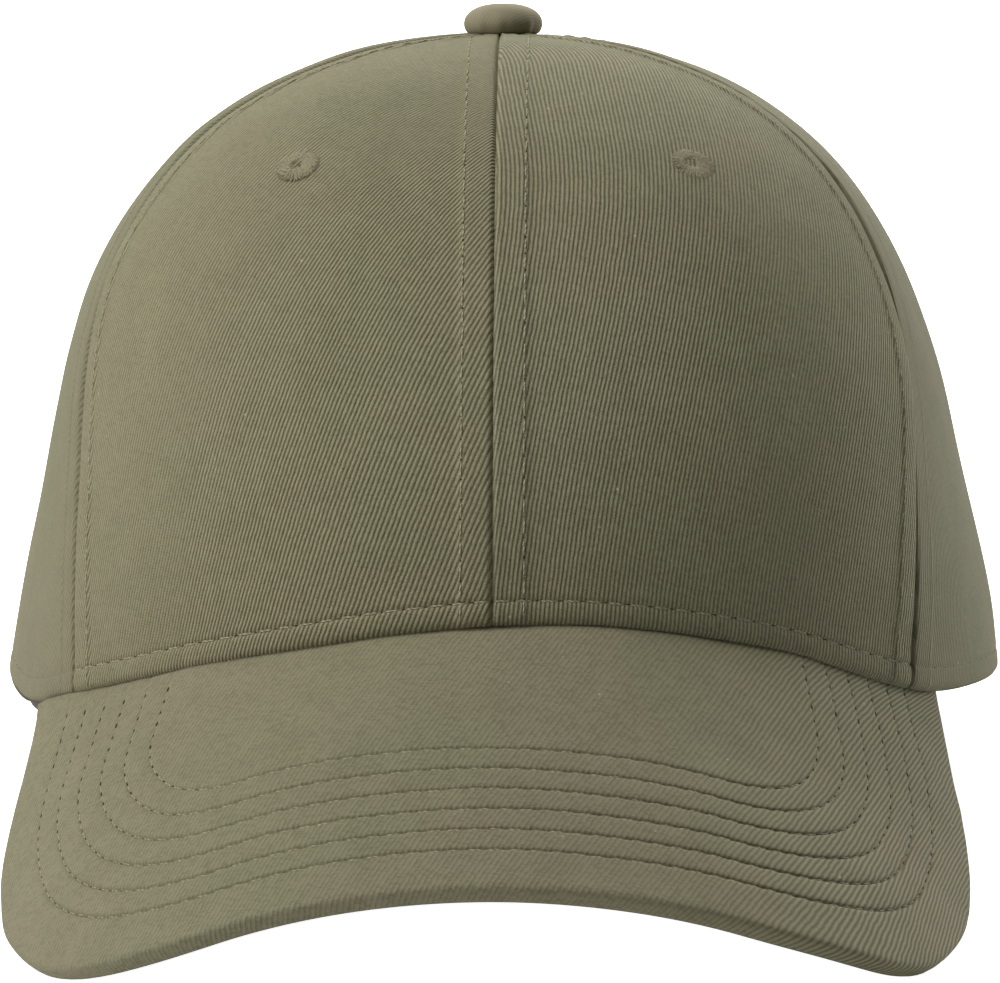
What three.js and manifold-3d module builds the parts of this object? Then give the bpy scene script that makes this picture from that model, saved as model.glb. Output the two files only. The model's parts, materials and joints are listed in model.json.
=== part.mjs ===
// Six-panel cap with a curved peak, in millimetres, +Z up, the peak towards -Y.
// Everything is shaped in the rim's own frame: the rim lies in the plane z = 0 round the Z axis.
// At the end the whole cap is tipped back until it rests on its peak and its rear rim.
import * as THREE from 'three';
import { mergeVertices } from 'three/addons/utils/BufferGeometryUtils.js';
import Module from 'manifold-3d';

const wasm = await Module();
wasm.setup();

// Crown: three rings steer each wall curve from the rim to the top. Each row says how far its ring
// reaches to the front, side and back, how square its front half is (2 is an ellipse), and its height.
const crownRings = [
  { name: 'rim', front: 101, side: 91, back: 97, square: 2.15, height: 0 },
  { name: 'wall', front: 99, side: 81.5, back: 93, square: 3.1, height: 62 },
  { name: 'shoulder', front: 71, side: 76, back: 68, square: 2.65, height: 118 },
];
const backSquare = 2.1;
const crownHeight = 118;
const crownTopBack = 2;
const clothWall = 1.7;
const gap = 0.3;

// Seams run from the rim to the top. Angles are degrees round the crown from the front.
const seams = [
  { name: 'front', rim: 0, top: 0 },
  { name: 'side', rim: 49.5, top: 62 },
  { name: 'rear', rim: 114, top: 121 },
  { name: 'back', rim: 180, top: 180 },
];
const seamSettled = 0.6;
const panelTop = 0.979;
const panelColumns = 9;
const panelRows = 14;
const normalStep = 0.004;

// Peak: a flat crescent bent round one cylinder that slopes down and forward from the front of the rim.
const peakLength = 73;
const peakSlope = THREE.MathUtils.degToRad(28.5);
const peakBend = 99;
const peakRise = 18;
const peakHalfWidth = 96;
const peakFlare = THREE.MathUtils.degToRad(1.5);
const frontEdgeRadius = 425;
const cornerRadius = 57;
const peakThickness = 3.6;
const coverWall = 1.5;
const coverGap = 0.5;
const jointTuck = 0.2;
const jointGap = 0.8;
const jointSoftness = 1;
const jointReach = THREE.MathUtils.degToRad(75);
const wingTip = 3;
const wingSearch = { from: 30, to: 75, step: 0.05 };

// The wings rise a little where they are sewn to the rim, and the whole peak is sewn slightly off centre.
const wingLift = 1.8;
const wingLength = 35;
const peakOffset = -1;

// Edge of the top cover, from its upper face round the rim of the peak to the turned-in lip.
const peakEdge = [
  { inset: 1.5, depth: 0, innerInset: 1.9 },
  { inset: 0.5, depth: 0.35, innerInset: 1.8 },
  { inset: 0, depth: 1.2, innerInset: 1.7 },
  { inset: 0, depth: 2.4, innerInset: 1.6 },
  { inset: 0.4, depth: 3.3, innerInset: 1.6 },
  { inset: 1.1, depth: 3.6, innerInset: 1.6 },
];
const peakColumns = 30;
const peakRows = 7;

// Button, turned round the crown's top: its dome, its shank and the plate inside the crown.
const button = [
  { reach: 0, height: -2.9 },
  { reach: 5.2, height: -2.9 },
  { reach: 5.2, height: -2.1 },
  { reach: 3, height: -2.1 },
  { reach: 3, height: 0.3 },
  { reach: 6.5, height: 0.3 },
  { reach: 7.1, height: 1.2 },
  { reach: 7.1, height: 2.4 },
  { reach: 6.5, height: 3.8 },
  { reach: 5, height: 5 },
  { reach: 2.7, height: 5.7 },
  { reach: 0, height: 5.9 },
];
const buttonSides = 20;

// Eyelets, turned round their holes. Heights are over the outer or the inner face of the cloth.
const eyeletNeck = 2.3;
const eyeletGap = 0.5;
const eyeletSides = 14;
const eyeletProfile = [
  { reach: 1.25, face: 'inner', height: -0.3 },
  { reach: 2.1, face: 'inner', height: -0.6 },
  { reach: 3.7, face: 'inner', height: 0 },
  { reach: eyeletNeck, face: 'inner', height: 0 },
  { reach: eyeletNeck, face: 'outer', height: 0 },
  { reach: 4.2, face: 'outer', height: 0 },
  { reach: 3.6, face: 'outer', height: 0.4 },
  { reach: eyeletNeck, face: 'outer', height: 0.6 },
  { reach: 1.25, face: 'outer', height: 0.2 },
];
const eyelets = [
  { name: 'front', along: 0.48, climb: 0.6 },
  { name: 'side', along: 1.6, climb: 0.6 },
  { name: 'back', along: 2.5, climb: 0.6 },
];

// Sweatband inside the crown's wall. It peeks out by a drop below the rim at one place.
const bandHeight = 30;
const bandWall = 1.2;
const bandGap = 0.6;
const bandSteps = 44;
const bandRows = 3;
const bandEnd = 148.5;
const bandUp = 0.8;
const bandPeek = { at: -72, spread: 16, drop: 1.3 };

// Back opening, cut from the rear through both back panels, and its strap.
const archHalfWidth = 32;
const archFoot = 9;
const archHeight = 41;
const archCut = { below: 20, from: 40, length: 90, steps: 14 };
const strapHeight = 21;
const strapWall = 1.6;
const strapEnd = 150;
const strapUp = 0.5;
const strapSteps = 14;

const mostTip = 25;
const halvings = 40;
const mergeWithin = 1e-4;

const cloth = { color: 0x7b7559, roughness: 0.9, metalness: 0 };
const bandCloth = { color: 0x4c4a45, roughness: 0.95, metalness: 0 };

const radians = THREE.MathUtils.degToRad;
const mix = THREE.MathUtils.lerp;

function smoothStep(value) {
  const k = THREE.MathUtils.clamp(value, 0, 1);
  return k * k * (3 - 2 * k);
}

function ringReach(ring, angle) {
  const ahead = Math.cos(angle) > 0;
  const length = ahead ? ring.front : ring.back;
  const square = ahead ? ring.square : backSquare;
  const across = Math.abs(Math.sin(angle) / ring.side) ** square;
  const along = Math.abs(Math.cos(angle) / length) ** square;
  return (across + along) ** (-1 / square);
}

// A point of the peak: across and ahead are measured on the flat crescent, depth into it from its top.
function peakPoint(across, ahead, depth = 0) {
  const turn = across / peakBend;
  const reach = peakBend - depth;
  const sag = peakBend - reach * Math.cos(turn);
  const lift = wingLift * (Math.min(ahead, 0) / wingLength) ** 2;
  return new THREE.Vector3(
    peakOffset + reach * Math.sin(turn),
    -crownRings[0].front - ahead * Math.cos(peakSlope) + sag * Math.sin(peakSlope),
    peakRise - ahead * Math.sin(peakSlope) - sag * Math.cos(peakSlope) + lift,
  );
}

// Where a point of the rim's plan falls on the flat crescent.
function peakFlat(x, y) {
  const turn = Math.asin((x - peakOffset) / peakBend);
  const sag = peakBend * (1 - Math.cos(turn));
  const ahead = (-crownRings[0].front + sag * Math.sin(peakSlope) - y) / Math.cos(peakSlope);
  return new THREE.Vector2(turn * peakBend, ahead);
}

function rimPlan(angle, inset = 0) {
  const reach = ringReach(crownRings[0], angle) - inset;
  return new THREE.Vector2(reach * Math.sin(angle), -reach * Math.cos(angle));
}

// The rim is level, and lifts over the peak where the peak's top stands above the rim's plane.
function rimHeight(angle) {
  if (Math.abs(angle) > jointReach) {
    return 0;
  }
  const plan = rimPlan(angle);
  const flat = peakFlat(plan.x, plan.y);
  const lift = peakPoint(flat.x, flat.y).z + jointGap;
  return 0.5 * (lift + Math.hypot(lift, jointSoftness));
}

// A point of the crown's outer face: angle round from the front, climb 0 at the rim and 1 at the top.
function crownPoint(angle, climb) {
  const down = 1 - climb;
  const weights = [down ** 3, 3 * climb * down ** 2, 3 * climb ** 2 * down, climb ** 3];
  const heights = [rimHeight(angle), crownRings[1].height, crownRings[2].height, crownHeight];
  let reach = 0;
  let height = weights[3] * heights[3];
  for (const [i, ring] of crownRings.entries()) {
    reach += weights[i] * ringReach(ring, angle);
    height += weights[i] * heights[i];
  }
  const back = crownTopBack * smoothStep(climb);
  return new THREE.Vector3(reach * Math.sin(angle), back - reach * Math.cos(angle), height);
}

function crownNormal(angle, climb) {
  const round = crownPoint(angle + normalStep, climb).sub(crownPoint(angle - normalStep, climb));
  const above = crownPoint(angle, Math.min(climb + normalStep, 1));
  const below = crownPoint(angle, Math.max(climb - normalStep, 0));
  return round.cross(above.sub(below)).normalize();
}

function crownInside(angle, climb, depth) {
  return crownPoint(angle, climb).addScaledVector(crownNormal(angle, climb), -depth);
}

// Place along the seams' count: 0 is the front seam, 1 the side one, 2 the rear one, 3 the back one.
function seamAngle(along, climb) {
  const i = Math.min(Math.floor(Math.abs(along)), seams.length - 2);
  const part = Math.abs(along) - i;
  const settled = smoothStep(climb / seamSettled);
  const rim = mix(seams[i].rim, seams[i + 1].rim, part);
  const top = mix(seams[i].top, seams[i + 1].top, part);
  return radians(mix(rim, top, settled)) * Math.sign(along || 1);
}

// A closed body between two grids of points, outer(i, j) and inner(i, j).
function sheetGeometry(columns, rows, outer, inner) {
  const points = [];
  for (const face of [outer, inner]) {
    for (let i = 0; i <= columns; i++) {
      for (let j = 0; j <= rows; j++) {
        points.push(face(i, j));
      }
    }
  }
  const count = (columns + 1) * (rows + 1);
  const at = (i, j, face) => face * count + i * (rows + 1) + j;
  const index = [];
  const quad = (a, b, c, d) => index.push(a, b, c, a, c, d);
  for (let i = 0; i < columns; i++) {
    for (let j = 0; j < rows; j++) {
      quad(at(i, j, 0), at(i + 1, j, 0), at(i + 1, j + 1, 0), at(i, j + 1, 0));
      quad(at(i, j, 1), at(i, j + 1, 1), at(i + 1, j + 1, 1), at(i + 1, j, 1));
    }
    quad(at(i, 0, 1), at(i + 1, 0, 1), at(i + 1, 0, 0), at(i, 0, 0));
    quad(at(i, rows, 0), at(i + 1, rows, 0), at(i + 1, rows, 1), at(i, rows, 1));
  }
  for (let j = 0; j < rows; j++) {
    quad(at(0, j, 0), at(0, j + 1, 0), at(0, j + 1, 1), at(0, j, 1));
    quad(at(columns, j, 1), at(columns, j + 1, 1), at(columns, j + 1, 0), at(columns, j, 0));
  }
  const geometry = new THREE.BufferGeometry().setFromPoints(points);
  geometry.setIndex(index);
  return outwards(geometry);
}

// Turns every triangle round if the body's volume comes out negative.
function outwards(geometry) {
  const place = geometry.attributes.position;
  const index = Array.from(geometry.index.array);
  const corner = (i) => new THREE.Vector3().fromBufferAttribute(place, index[i]);
  let volume = 0;
  for (let i = 0; i < index.length; i += 3) {
    volume += corner(i).dot(corner(i + 1).cross(corner(i + 2)));
  }
  if (volume < 0) {
    index.reverse();
  }
  geometry.setIndex(index);
  return geometry;
}

function toManifold(geometry) {
  const bare = geometry.clone();
  bare.deleteAttribute('normal');
  bare.deleteAttribute('uv');
  const merged = mergeVertices(bare, mergeWithin);
  return new wasm.Manifold(new wasm.Mesh({
    numProp: 3,
    vertProperties: merged.attributes.position.array,
    triVerts: new Uint32Array(merged.index.array),
  }));
}

function fromManifold(solid) {
  const mesh = solid.getMesh();
  const geometry = new THREE.BufferGeometry();
  geometry.setAttribute('position', new THREE.BufferAttribute(mesh.vertProperties, 3));
  geometry.setIndex(Array.from(mesh.triVerts));
  return geometry;
}

function cut(geometry, tools) {
  let solid = toManifold(geometry);
  for (const tool of tools) {
    solid = solid.subtract(toManifold(tool));
  }
  return fromManifold(solid);
}

function eyeletFrame(eyelet, side) {
  const angle = seamAngle(side * eyelet.along, eyelet.climb);
  const point = crownPoint(angle, eyelet.climb);
  const normal = crownNormal(angle, eyelet.climb);
  const turn = new THREE.Quaternion().setFromUnitVectors(new THREE.Vector3(0, 1, 0), normal);
  return { point, turn };
}

function eyeletHoleTool(eyelet, side) {
  const { point, turn } = eyeletFrame(eyelet, side);
  const reach = eyeletNeck + gap;
  const tool = new THREE.CylinderGeometry(reach, reach, 6 * clothWall, eyeletSides);
  return tool.applyQuaternion(turn).translate(point.x, point.y, point.z);
}

function archTool() {
  const outline = new THREE.Shape();
  outline.moveTo(-archHalfWidth, -archCut.below);
  outline.lineTo(archHalfWidth, -archCut.below);
  outline.lineTo(archHalfWidth, archFoot);
  outline.absellipse(0, archFoot, archHalfWidth, archHeight - archFoot, 0, Math.PI);
  outline.closePath();
  const tool = new THREE.ExtrudeGeometry(outline, {
    depth: archCut.length,
    bevelEnabled: false,
    curveSegments: archCut.steps,
  });
  return tool.rotateX(Math.PI / 2).translate(0, archCut.from + archCut.length, 0);
}

// One panel of the crown, from seam first to seam first + 1 on one side.
function panelGeometry(first, side, tools) {
  const place = (i, j, depth) => {
    const climb = panelTop * (j / panelRows);
    const along = first + i / panelColumns;
    const angle = seamAngle(side * along, climb);
    const reach = Math.hypot(crownPoint(angle, climb).x, crownPoint(angle, climb).y);
    const edge = i === 0 ? 1 : i === panelColumns ? -1 : 0;
    const inset = side * edge * (gap / 2) / reach;
    return crownInside(angle + inset, climb, depth);
  };
  const sheet = sheetGeometry(
    panelColumns,
    panelRows,
    (i, j) => place(i, j, 0),
    (i, j) => place(i, j, clothWall),
  );
  return cut(sheet, tools);
}

// The crescent's edge at an inset, as points from the middle of the front edge to the wing's end.
function peakOutline(inset, steps) {
  const arcCentre = peakLength - frontEdgeRadius;
  const tangent = Math.tan(peakFlare);
  const start = peakHalfWidth - cornerRadius / Math.cos(peakFlare);
  const a = tangent ** 2 + 1;
  const b = 2 * (start * tangent - arcCentre);
  const c = start ** 2 + arcCentre ** 2 - (frontEdgeRadius - cornerRadius) ** 2;
  const ahead = (-b + Math.sqrt(b * b - 4 * a * c)) / (2 * a);
  const corner = new THREE.Vector2(start + ahead * tangent, ahead);
  const meet = Math.atan2(corner.x, corner.y - arcCentre);
  const arc = frontEdgeRadius - inset;
  const bend = cornerRadius - inset;
  const route = new THREE.CurvePath();
  const arcAt = (x, y, r, from, to) => new THREE.EllipseCurve(x, y, r, r, from, to, true);
  const side = Math.PI / 2 - meet;
  route.add(arcAt(0, arcCentre, arc, Math.PI / 2, side));
  route.add(arcAt(corner.x, corner.y, bend, side, -peakFlare));
  const end = route.getPoint(1);
  const wing = wingEnd(inset);
  route.add(new THREE.LineCurve(end, wing));
  return route.getSpacedPoints(steps);
}

// The wing's straight side runs back until it reaches the rim.
function wingEnd(inset) {
  let angle = radians(wingSearch.from);
  const sideOf = (flat) => peakHalfWidth - inset / Math.cos(peakFlare) + flat.y * Math.tan(peakFlare);
  const flatAt = (turn) => {
    const plan = rimPlan(turn, jointTuck);
    return peakFlat(plan.x, plan.y);
  };
  while (flatAt(angle).x < sideOf(flatAt(angle)) && angle < radians(wingSearch.to)) {
    angle += radians(wingSearch.step);
  }
  const flat = flatAt(angle);
  return new THREE.Vector2(sideOf(flat), flat.y);
}

// The angle at which the cover's rear edge leaves the rim and runs into the wing's tip.
function peakRearEnd() {
  let angle = radians(wingSearch.from);
  const limit = wingEnd(0).y + wingTip;
  const aheadAt = (turn) => {
    const plan = rimPlan(turn, jointTuck);
    return peakFlat(plan.x, plan.y).y;
  };
  while (aheadAt(angle) > limit) {
    angle += radians(wingSearch.step);
  }
  return angle;
}

const rearEnd = peakRearEnd();

function peakRear(i) {
  const plan = rimPlan(rearEnd * (2 * i / peakColumns - 1), jointTuck);
  return peakFlat(plan.x, plan.y);
}

function crescent(inset) {
  const half = peakOutline(inset, peakColumns / 2);
  const left = half.slice(1).reverse().map((p) => new THREE.Vector2(-p.x, p.y));
  return [...left, ...half];
}

function topCoverGeometry() {
  const outers = peakEdge.map((row) => crescent(row.inset));
  const inners = peakEdge.map((row) => crescent(row.innerInset));
  const lip = peakEdge.length - 1;
  const place = (i, j, edges, depthOf) => {
    const row = Math.max(j - peakRows, 0);
    const flat = edges[row][i].clone();
    if (j < peakRows) {
      flat.lerpVectors(peakRear(i), edges[0][i], j / peakRows);
    }
    return peakPoint(flat.x, flat.y, depthOf(row));
  };
  return sheetGeometry(
    peakColumns,
    peakRows + lip,
    (i, j) => place(i, j, outers, (row) => peakEdge[row].depth),
    (i, j) => place(i, j, inners, (row) => mix(coverWall, peakThickness, row / lip)),
  );
}

function underCoverGeometry() {
  const edge = crescent(peakEdge.at(-1).innerInset + coverGap);
  const place = (i, j, depth) => {
    const flat = peakRear(i).lerp(edge[i], j / peakRows);
    return peakPoint(flat.x, flat.y, depth);
  };
  return sheetGeometry(
    peakColumns,
    peakRows,
    (i, j) => place(i, j, coverWall + coverGap),
    (i, j) => place(i, j, peakThickness),
  );
}

// A band inside the crown's wall: it follows the rim between two angles, at a depth below the outer face.
function innerBand(from, to, steps, depth, wall, lowest, height) {
  const place = (i, j, extra) => {
    const angle = radians(mix(from, to, i / steps));
    const low = rimHeight(angle) + lowest(angle);
    const z = low + height * (j / bandRows);
    const climb = climbAt(angle, Math.max(z, rimHeight(angle)));
    const point = crownInside(angle, climb, depth + extra);
    point.z = z;
    return point;
  };
  return sheetGeometry(steps, bandRows, (i, j) => place(i, j, 0), (i, j) => place(i, j, wall));
}

function climbAt(angle, height) {
  let low = 0;
  let high = 1;
  for (let i = 0; i < halvings; i++) {
    const middle = (low + high) / 2;
    if (crownPoint(angle, middle).z < height) {
      low = middle;
    } else {
      high = middle;
    }
  }
  return (low + high) / 2;
}

function bandLowest(angle) {
  const away = (THREE.MathUtils.radToDeg(angle) - bandPeek.at) / bandPeek.spread;
  const peek = Math.abs(away) < 1 ? 0.5 + 0.5 * Math.cos(Math.PI * away) : 0;
  return bandUp - peek * (bandUp + bandPeek.drop);
}

function buttonGeometry() {
  const profile = button.map((row) => new THREE.Vector2(row.reach, row.height));
  const turned = new THREE.LatheGeometry(profile, buttonSides);
  turned.rotateX(Math.PI / 2).translate(0, crownTopBack, crownHeight);
  return outwards(mergedOf(turned));
}

function eyeletGeometry(eyelet, side) {
  const faceHeights = { outer: eyeletGap, inner: -clothWall - eyeletGap };
  const rows = [...eyeletProfile, eyeletProfile[0]];
  const profile = rows.map((row) => new THREE.Vector2(row.reach, faceHeights[row.face] + row.height));
  const turned = mergedOf(new THREE.LatheGeometry(profile, eyeletSides));
  const { point, turn } = eyeletFrame(eyelet, side);
  return outwards(turned.applyQuaternion(turn).translate(point.x, point.y, point.z));
}

function mergedOf(geometry) {
  geometry.deleteAttribute('normal');
  geometry.deleteAttribute('uv');
  return mergeVertices(geometry, mergeWithin);
}

const cap = new THREE.Group();

function addPiece(name, geometry, look) {
  const mesh = new THREE.Mesh(geometry, new THREE.MeshStandardMaterial(look));
  mesh.name = name;
  cap.add(mesh);
}

for (const [sideName, side] of [['left', 1], ['right', -1]]) {
  for (const [i, eyelet] of eyelets.entries()) {
    const tools = [eyeletHoleTool(eyelet, side)];
    if (eyelet.name === 'back') {
      tools.push(archTool());
    }
    addPiece(`${eyelet.name}_panel_${sideName}`, panelGeometry(i, side, tools), cloth);
    addPiece(`${eyelet.name}_eyelet_${sideName}`, eyeletGeometry(eyelet, side), cloth);
  }
}
addPiece('top_button', buttonGeometry(), cloth);
addPiece('peak_top_cover', topCoverGeometry(), cloth);
addPiece('peak_under_cover', underCoverGeometry(), cloth);
const insideWall = clothWall + bandGap;
addPiece(
  'sweatband',
  innerBand(-bandEnd, bandEnd, bandSteps, insideWall, bandWall, bandLowest, bandHeight),
  bandCloth,
);
addPiece(
  'back_strap',
  innerBand(strapEnd, 360 - strapEnd, strapSteps, insideWall, strapWall, () => strapUp, strapHeight),
  cloth,
);

// Lowest point of the cap's front or rear half once it is tipped by an angle.
function lowest(tip, half) {
  let low = Infinity;
  const point = new THREE.Vector3();
  const axis = new THREE.Vector3(1, 0, 0);
  for (const mesh of cap.children) {
    const place = mesh.geometry.attributes.position;
    for (let i = 0; i < place.count; i++) {
      point.fromBufferAttribute(place, i);
      if (point.y * half > 0) {
        low = Math.min(low, point.applyAxisAngle(axis, tip).z);
      }
    }
  }
  return low;
}

// The tip at which the peak's corners and the rear rim touch one level surface.
function restingTip() {
  let low = -radians(mostTip);
  let high = 0;
  for (let i = 0; i < halvings; i++) {
    const middle = (low + high) / 2;
    if (lowest(middle, -1) > lowest(middle, 1)) {
      low = middle;
    } else {
      high = middle;
    }
  }
  return (low + high) / 2;
}

cap.rotation.x = restingTip();
cap.updateMatrixWorld();
const box = new THREE.Box3().setFromObject(cap, true);
cap.position.set(-(box.min.x + box.max.x) / 2, -(box.min.y + box.max.y) / 2, -box.min.z);

const part = new THREE.Group();
part.add(cap);

export default part;
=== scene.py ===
import json
import math
from functools import partial

import bpy
import numpy as np
from mathutils import Matrix, Vector


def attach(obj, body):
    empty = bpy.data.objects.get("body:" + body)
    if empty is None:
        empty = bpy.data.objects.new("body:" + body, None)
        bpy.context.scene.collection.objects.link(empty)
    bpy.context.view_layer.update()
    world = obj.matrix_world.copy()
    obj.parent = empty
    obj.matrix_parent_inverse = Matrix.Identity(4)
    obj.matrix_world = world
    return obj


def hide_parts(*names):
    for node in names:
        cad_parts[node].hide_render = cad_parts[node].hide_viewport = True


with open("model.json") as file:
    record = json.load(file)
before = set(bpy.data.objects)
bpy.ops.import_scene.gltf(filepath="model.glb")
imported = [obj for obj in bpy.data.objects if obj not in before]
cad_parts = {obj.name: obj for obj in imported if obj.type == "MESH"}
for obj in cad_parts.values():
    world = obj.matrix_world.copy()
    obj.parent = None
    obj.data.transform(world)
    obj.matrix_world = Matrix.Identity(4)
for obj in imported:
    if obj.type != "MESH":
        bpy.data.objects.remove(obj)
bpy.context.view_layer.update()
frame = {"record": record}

chance = np.random.default_rng(417)
sideNames = {1: "left", -1: "right"}
fullTurn = 2 * math.pi

# How the crown curves: what its rings reach to the front, side and back, how square they are, and heights.
crown = {
    "rings": [
        {"front": 101, "side": 91, "back": 97, "square": 2.15},
        {"front": 99, "side": 81.5, "back": 93, "square": 3.1},
        {"front": 71, "side": 76, "back": 68, "square": 2.65},
    ],
    "ringHeights": [62, 118],
    "backSquare": 2.1,
    "height": 118,
    "topBack": 2,
    "wall": 1.7,
    "seamsAtRim": {1: [0, 47.8, 114, 180], -1: [0, 49.5, 114, 180]},    # degrees from the front
    "seamsAtTop": [0, 62, 121, 180],
    "seamSettled": 0.6,    # share of the climb after which the seams run straight up
    "panelTop": 0.982,
    "wornAt": 90,          # the distance across at which a worn place shows in full
    # where the worn sides stand off the even form
    "worn": [
        {"side": -1, "out": -1.6, "height": 40, "over": 21, "power": 3},
        {"side": -1, "out": 0.7, "height": 80, "over": 12, "power": 3},
        {"side": -1, "out": -4.5, "height": 113, "over": 7, "power": 1},
        {"side": 1, "out": 1.7, "height": 15, "over": 17, "power": 3},
    ],
}
# How high the hem hangs above the rim's plane, by degrees from the front: it dips over the peak's wings
# and hangs lower on the picture's left, where the worn cap has sunk.
hem = {
    "degrees": [-180, -110, -90, -80, -75, -70, -65, -60, -55, -50, -40, -30, -20, -10, 0,
                10, 20, 30, 40, 50, 55, 60, 70, 80, 90, 110, 180],
    "heights": [0, 0, 0.6, 0.8, 0.25, -0.55, -1.55, -0.75, 0.3, 2.1, 5.6, 9.6, 13.0, 16.2, 18.1,
                17.9, 15.7, 12.2, 6.7, 2.7, 2.2, 2.05, 2.0, 1.85, 1.2, 0, 0],
    "soften": 2.6,         # degrees over which its corners are eased
    "perDegree": 4,        # points kept for each degree
}
# The peak is a flat crescent bent round a sloping cylinder.
peak = {
    "length": 73,
    "slope": math.radians(28.5),
    "bend": 99,
    "rise": 18,
    "halfWidth": 97.9,
    "flare": math.radians(9.1),
    "frontRadius": 425,
    "cornerRadius": 60,
    "thickness": 3.6,
    "wingLift": 1.8,
    "wingLength": 35,
    "offset": -1.35,
    "settle": 34,          # how far ahead of the seam the peak bends to meet the hem
    "underHem": 0.2,       # how far its top lies above the hem's lowest line
    "wingTips": {"lift": {1: 0.3, -1: 0.7}, "across": (76, 92)},    # the wings' ends are sewn in higher
    "cornerEase": 0.5,     # how softly its corners come to rest
    "rowsPulledIn": 2.4,   # the stitch rows keep further from the sides than from the front
    # how the front edge hangs below the even form, by distance across
    "droopAcross": [-100, -92, -81, -62, -40, -10, 20, 45, 62, 72, 81, 92, 100],
    "droop": [-2.0, -1.2, 0.9, 1.1, 1.0, 0.8, 0.3, -0.5, -1.1, -0.6, 0.6, -1.2, -2.0],
    "droopSoften": 6,
    "droopAhead": (15, 65),
    # how far its sides stand out past the even form, from the wings to the front
    "spread": {
        1: {"ahead": [-26, -19, -11, -6, 0, 5, 10, 16, 24, 35, 55],
            "out": [-0.6, -0.35, 0.07, 0.55, 0.56, 0.36, 0.24, 0.03, -0.1, 0.07, 0.1]},
        -1: {"ahead": [-33, -29, -24, -14, -9, -2, 7, 13, 18, 24, 35, 55],
             "out": [0.8, 0.45, 0.35, 0.36, 0.47, 0.52, 0.42, 0.27, -0.03, -0.15, 0.15, 0.1]},
    },
    "spreadAcross": (45, 85),
    "firstRow": 10.3,
    "rowStep": 5.55,
    "rows": 6,
}

# The cap lies tipped back on its peak and rear rim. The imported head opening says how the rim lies.
opening = next(m for m in frame["record"]["mounts"] if m["name"] == "head_opening")
tip = math.atan2(opening["axis"][1], -opening["axis"][2])
rimToModel = Matrix.Translation(opening["pos_m"]) @ Matrix.Rotation(tip, 4, "X") @ Matrix.Scale(0.001, 4)
rimMatrix = np.array(rimToModel)


def smoothStep(value, low=0.0, high=1.0):
    k = np.clip((np.asarray(value, float) - low) / (high - low), 0, 1)
    return k * k * (3 - 2 * k)


def hump(value, width, at=0.0):
    return np.exp(-((value - at) / width) ** 2)


def eased(values, reach, soften):
    # a running mean, weighted by a bell; reach and soften are counted in values
    bell = np.exp(-0.5 * (np.arange(-reach, reach + 1) / soften) ** 2)
    return np.convolve(np.pad(values, reach, mode="edge"), bell / bell.sum(), mode="valid")


def unit(vectors):
    return vectors / np.maximum(np.linalg.norm(vectors, axis=-1, keepdims=True), 1e-9)


def lengthsAlong(points):
    # how far along its line each point lies; the lines run over the last axis but one
    steps = np.linalg.norm(np.diff(points, axis=-2), axis=-1)
    return np.concatenate([np.zeros(steps.shape[:-1] + (1,)), np.cumsum(steps, -1)], -1)


def ringReach(ring, angle):
    ahead = np.cos(angle) > 0
    length = np.where(ahead, ring["front"], ring["back"])
    square = np.where(ahead, ring["square"], crown["backSquare"])
    across = np.abs(np.sin(angle) / ring["side"]) ** square
    along = np.abs(np.cos(angle) / length) ** square
    return (across + along) ** (-1 / square)


def rimPlan(angle, inset=0.0):
    reach = ringReach(crown["rings"][0], angle) - inset
    return reach * np.sin(angle), -reach * np.cos(angle)


hemTurns = np.radians(np.linspace(-180, 180, 360 * hem["perDegree"] + 1))
hemHeights = eased(np.interp(np.degrees(hemTurns), hem["degrees"], hem["heights"]),
                   10 * hem["perDegree"], hem["soften"] * hem["perDegree"])


def rimHeight(angle):
    turn = (np.asarray(angle, float) + math.pi) % fullTurn - math.pi
    return np.interp(turn, hemTurns, hemHeights)


def peakPoint(flat, depth=0.0):
    # flat holds distances across and ahead on the crescent; depth is how far under its upper face
    across, ahead = flat[..., 0], flat[..., 1]
    turn = across / peak["bend"]
    reach = peak["bend"] - depth
    sag = peak["bend"] - reach * np.cos(turn)
    lift = peak["wingLift"] * (np.minimum(ahead, 0) / peak["wingLength"]) ** 2
    cosSlope, sinSlope = math.cos(peak["slope"]), math.sin(peak["slope"])
    return np.stack([
        peak["offset"] + reach * np.sin(turn),
        -crown["rings"][0]["front"] - ahead * cosSlope + sag * sinSlope,
        peak["rise"] - ahead * sinSlope - sag * cosSlope + lift,
    ], -1)


def peakFlat(x, y):
    # the other way round: a place in plan to distances across and ahead
    turn = np.arcsin(np.clip((x - peak["offset"]) / peak["bend"], -1, 1))
    sag = peak["bend"] * (1 - np.cos(turn))
    ahead = -crown["rings"][0]["front"] + sag * math.sin(peak["slope"]) - y
    return np.stack([turn * peak["bend"], ahead / math.cos(peak["slope"])], -1)


# The peak bends to meet the hem: where the hem runs on it, and how much by distance across.
wingTurns = np.radians(np.linspace(-64, 64, 257))
seamFlat = peakFlat(*rimPlan(wingTurns))
seamAcross, seamAhead = seamFlat.T
seamRise = rimHeight(wingTurns) + peak["underHem"] - peakPoint(seamFlat)[:, 2]
tips = peak["wingTips"]
tipLift = np.where(seamAcross < 0, tips["lift"][-1], tips["lift"][1])
seamRise += tipLift * smoothStep(np.abs(seamAcross), *tips["across"])
droopPlaces = np.linspace(-100, 100, 201)
droopDepths = eased(np.interp(droopPlaces, peak["droopAcross"], peak["droop"]), 20, peak["droopSoften"])


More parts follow.
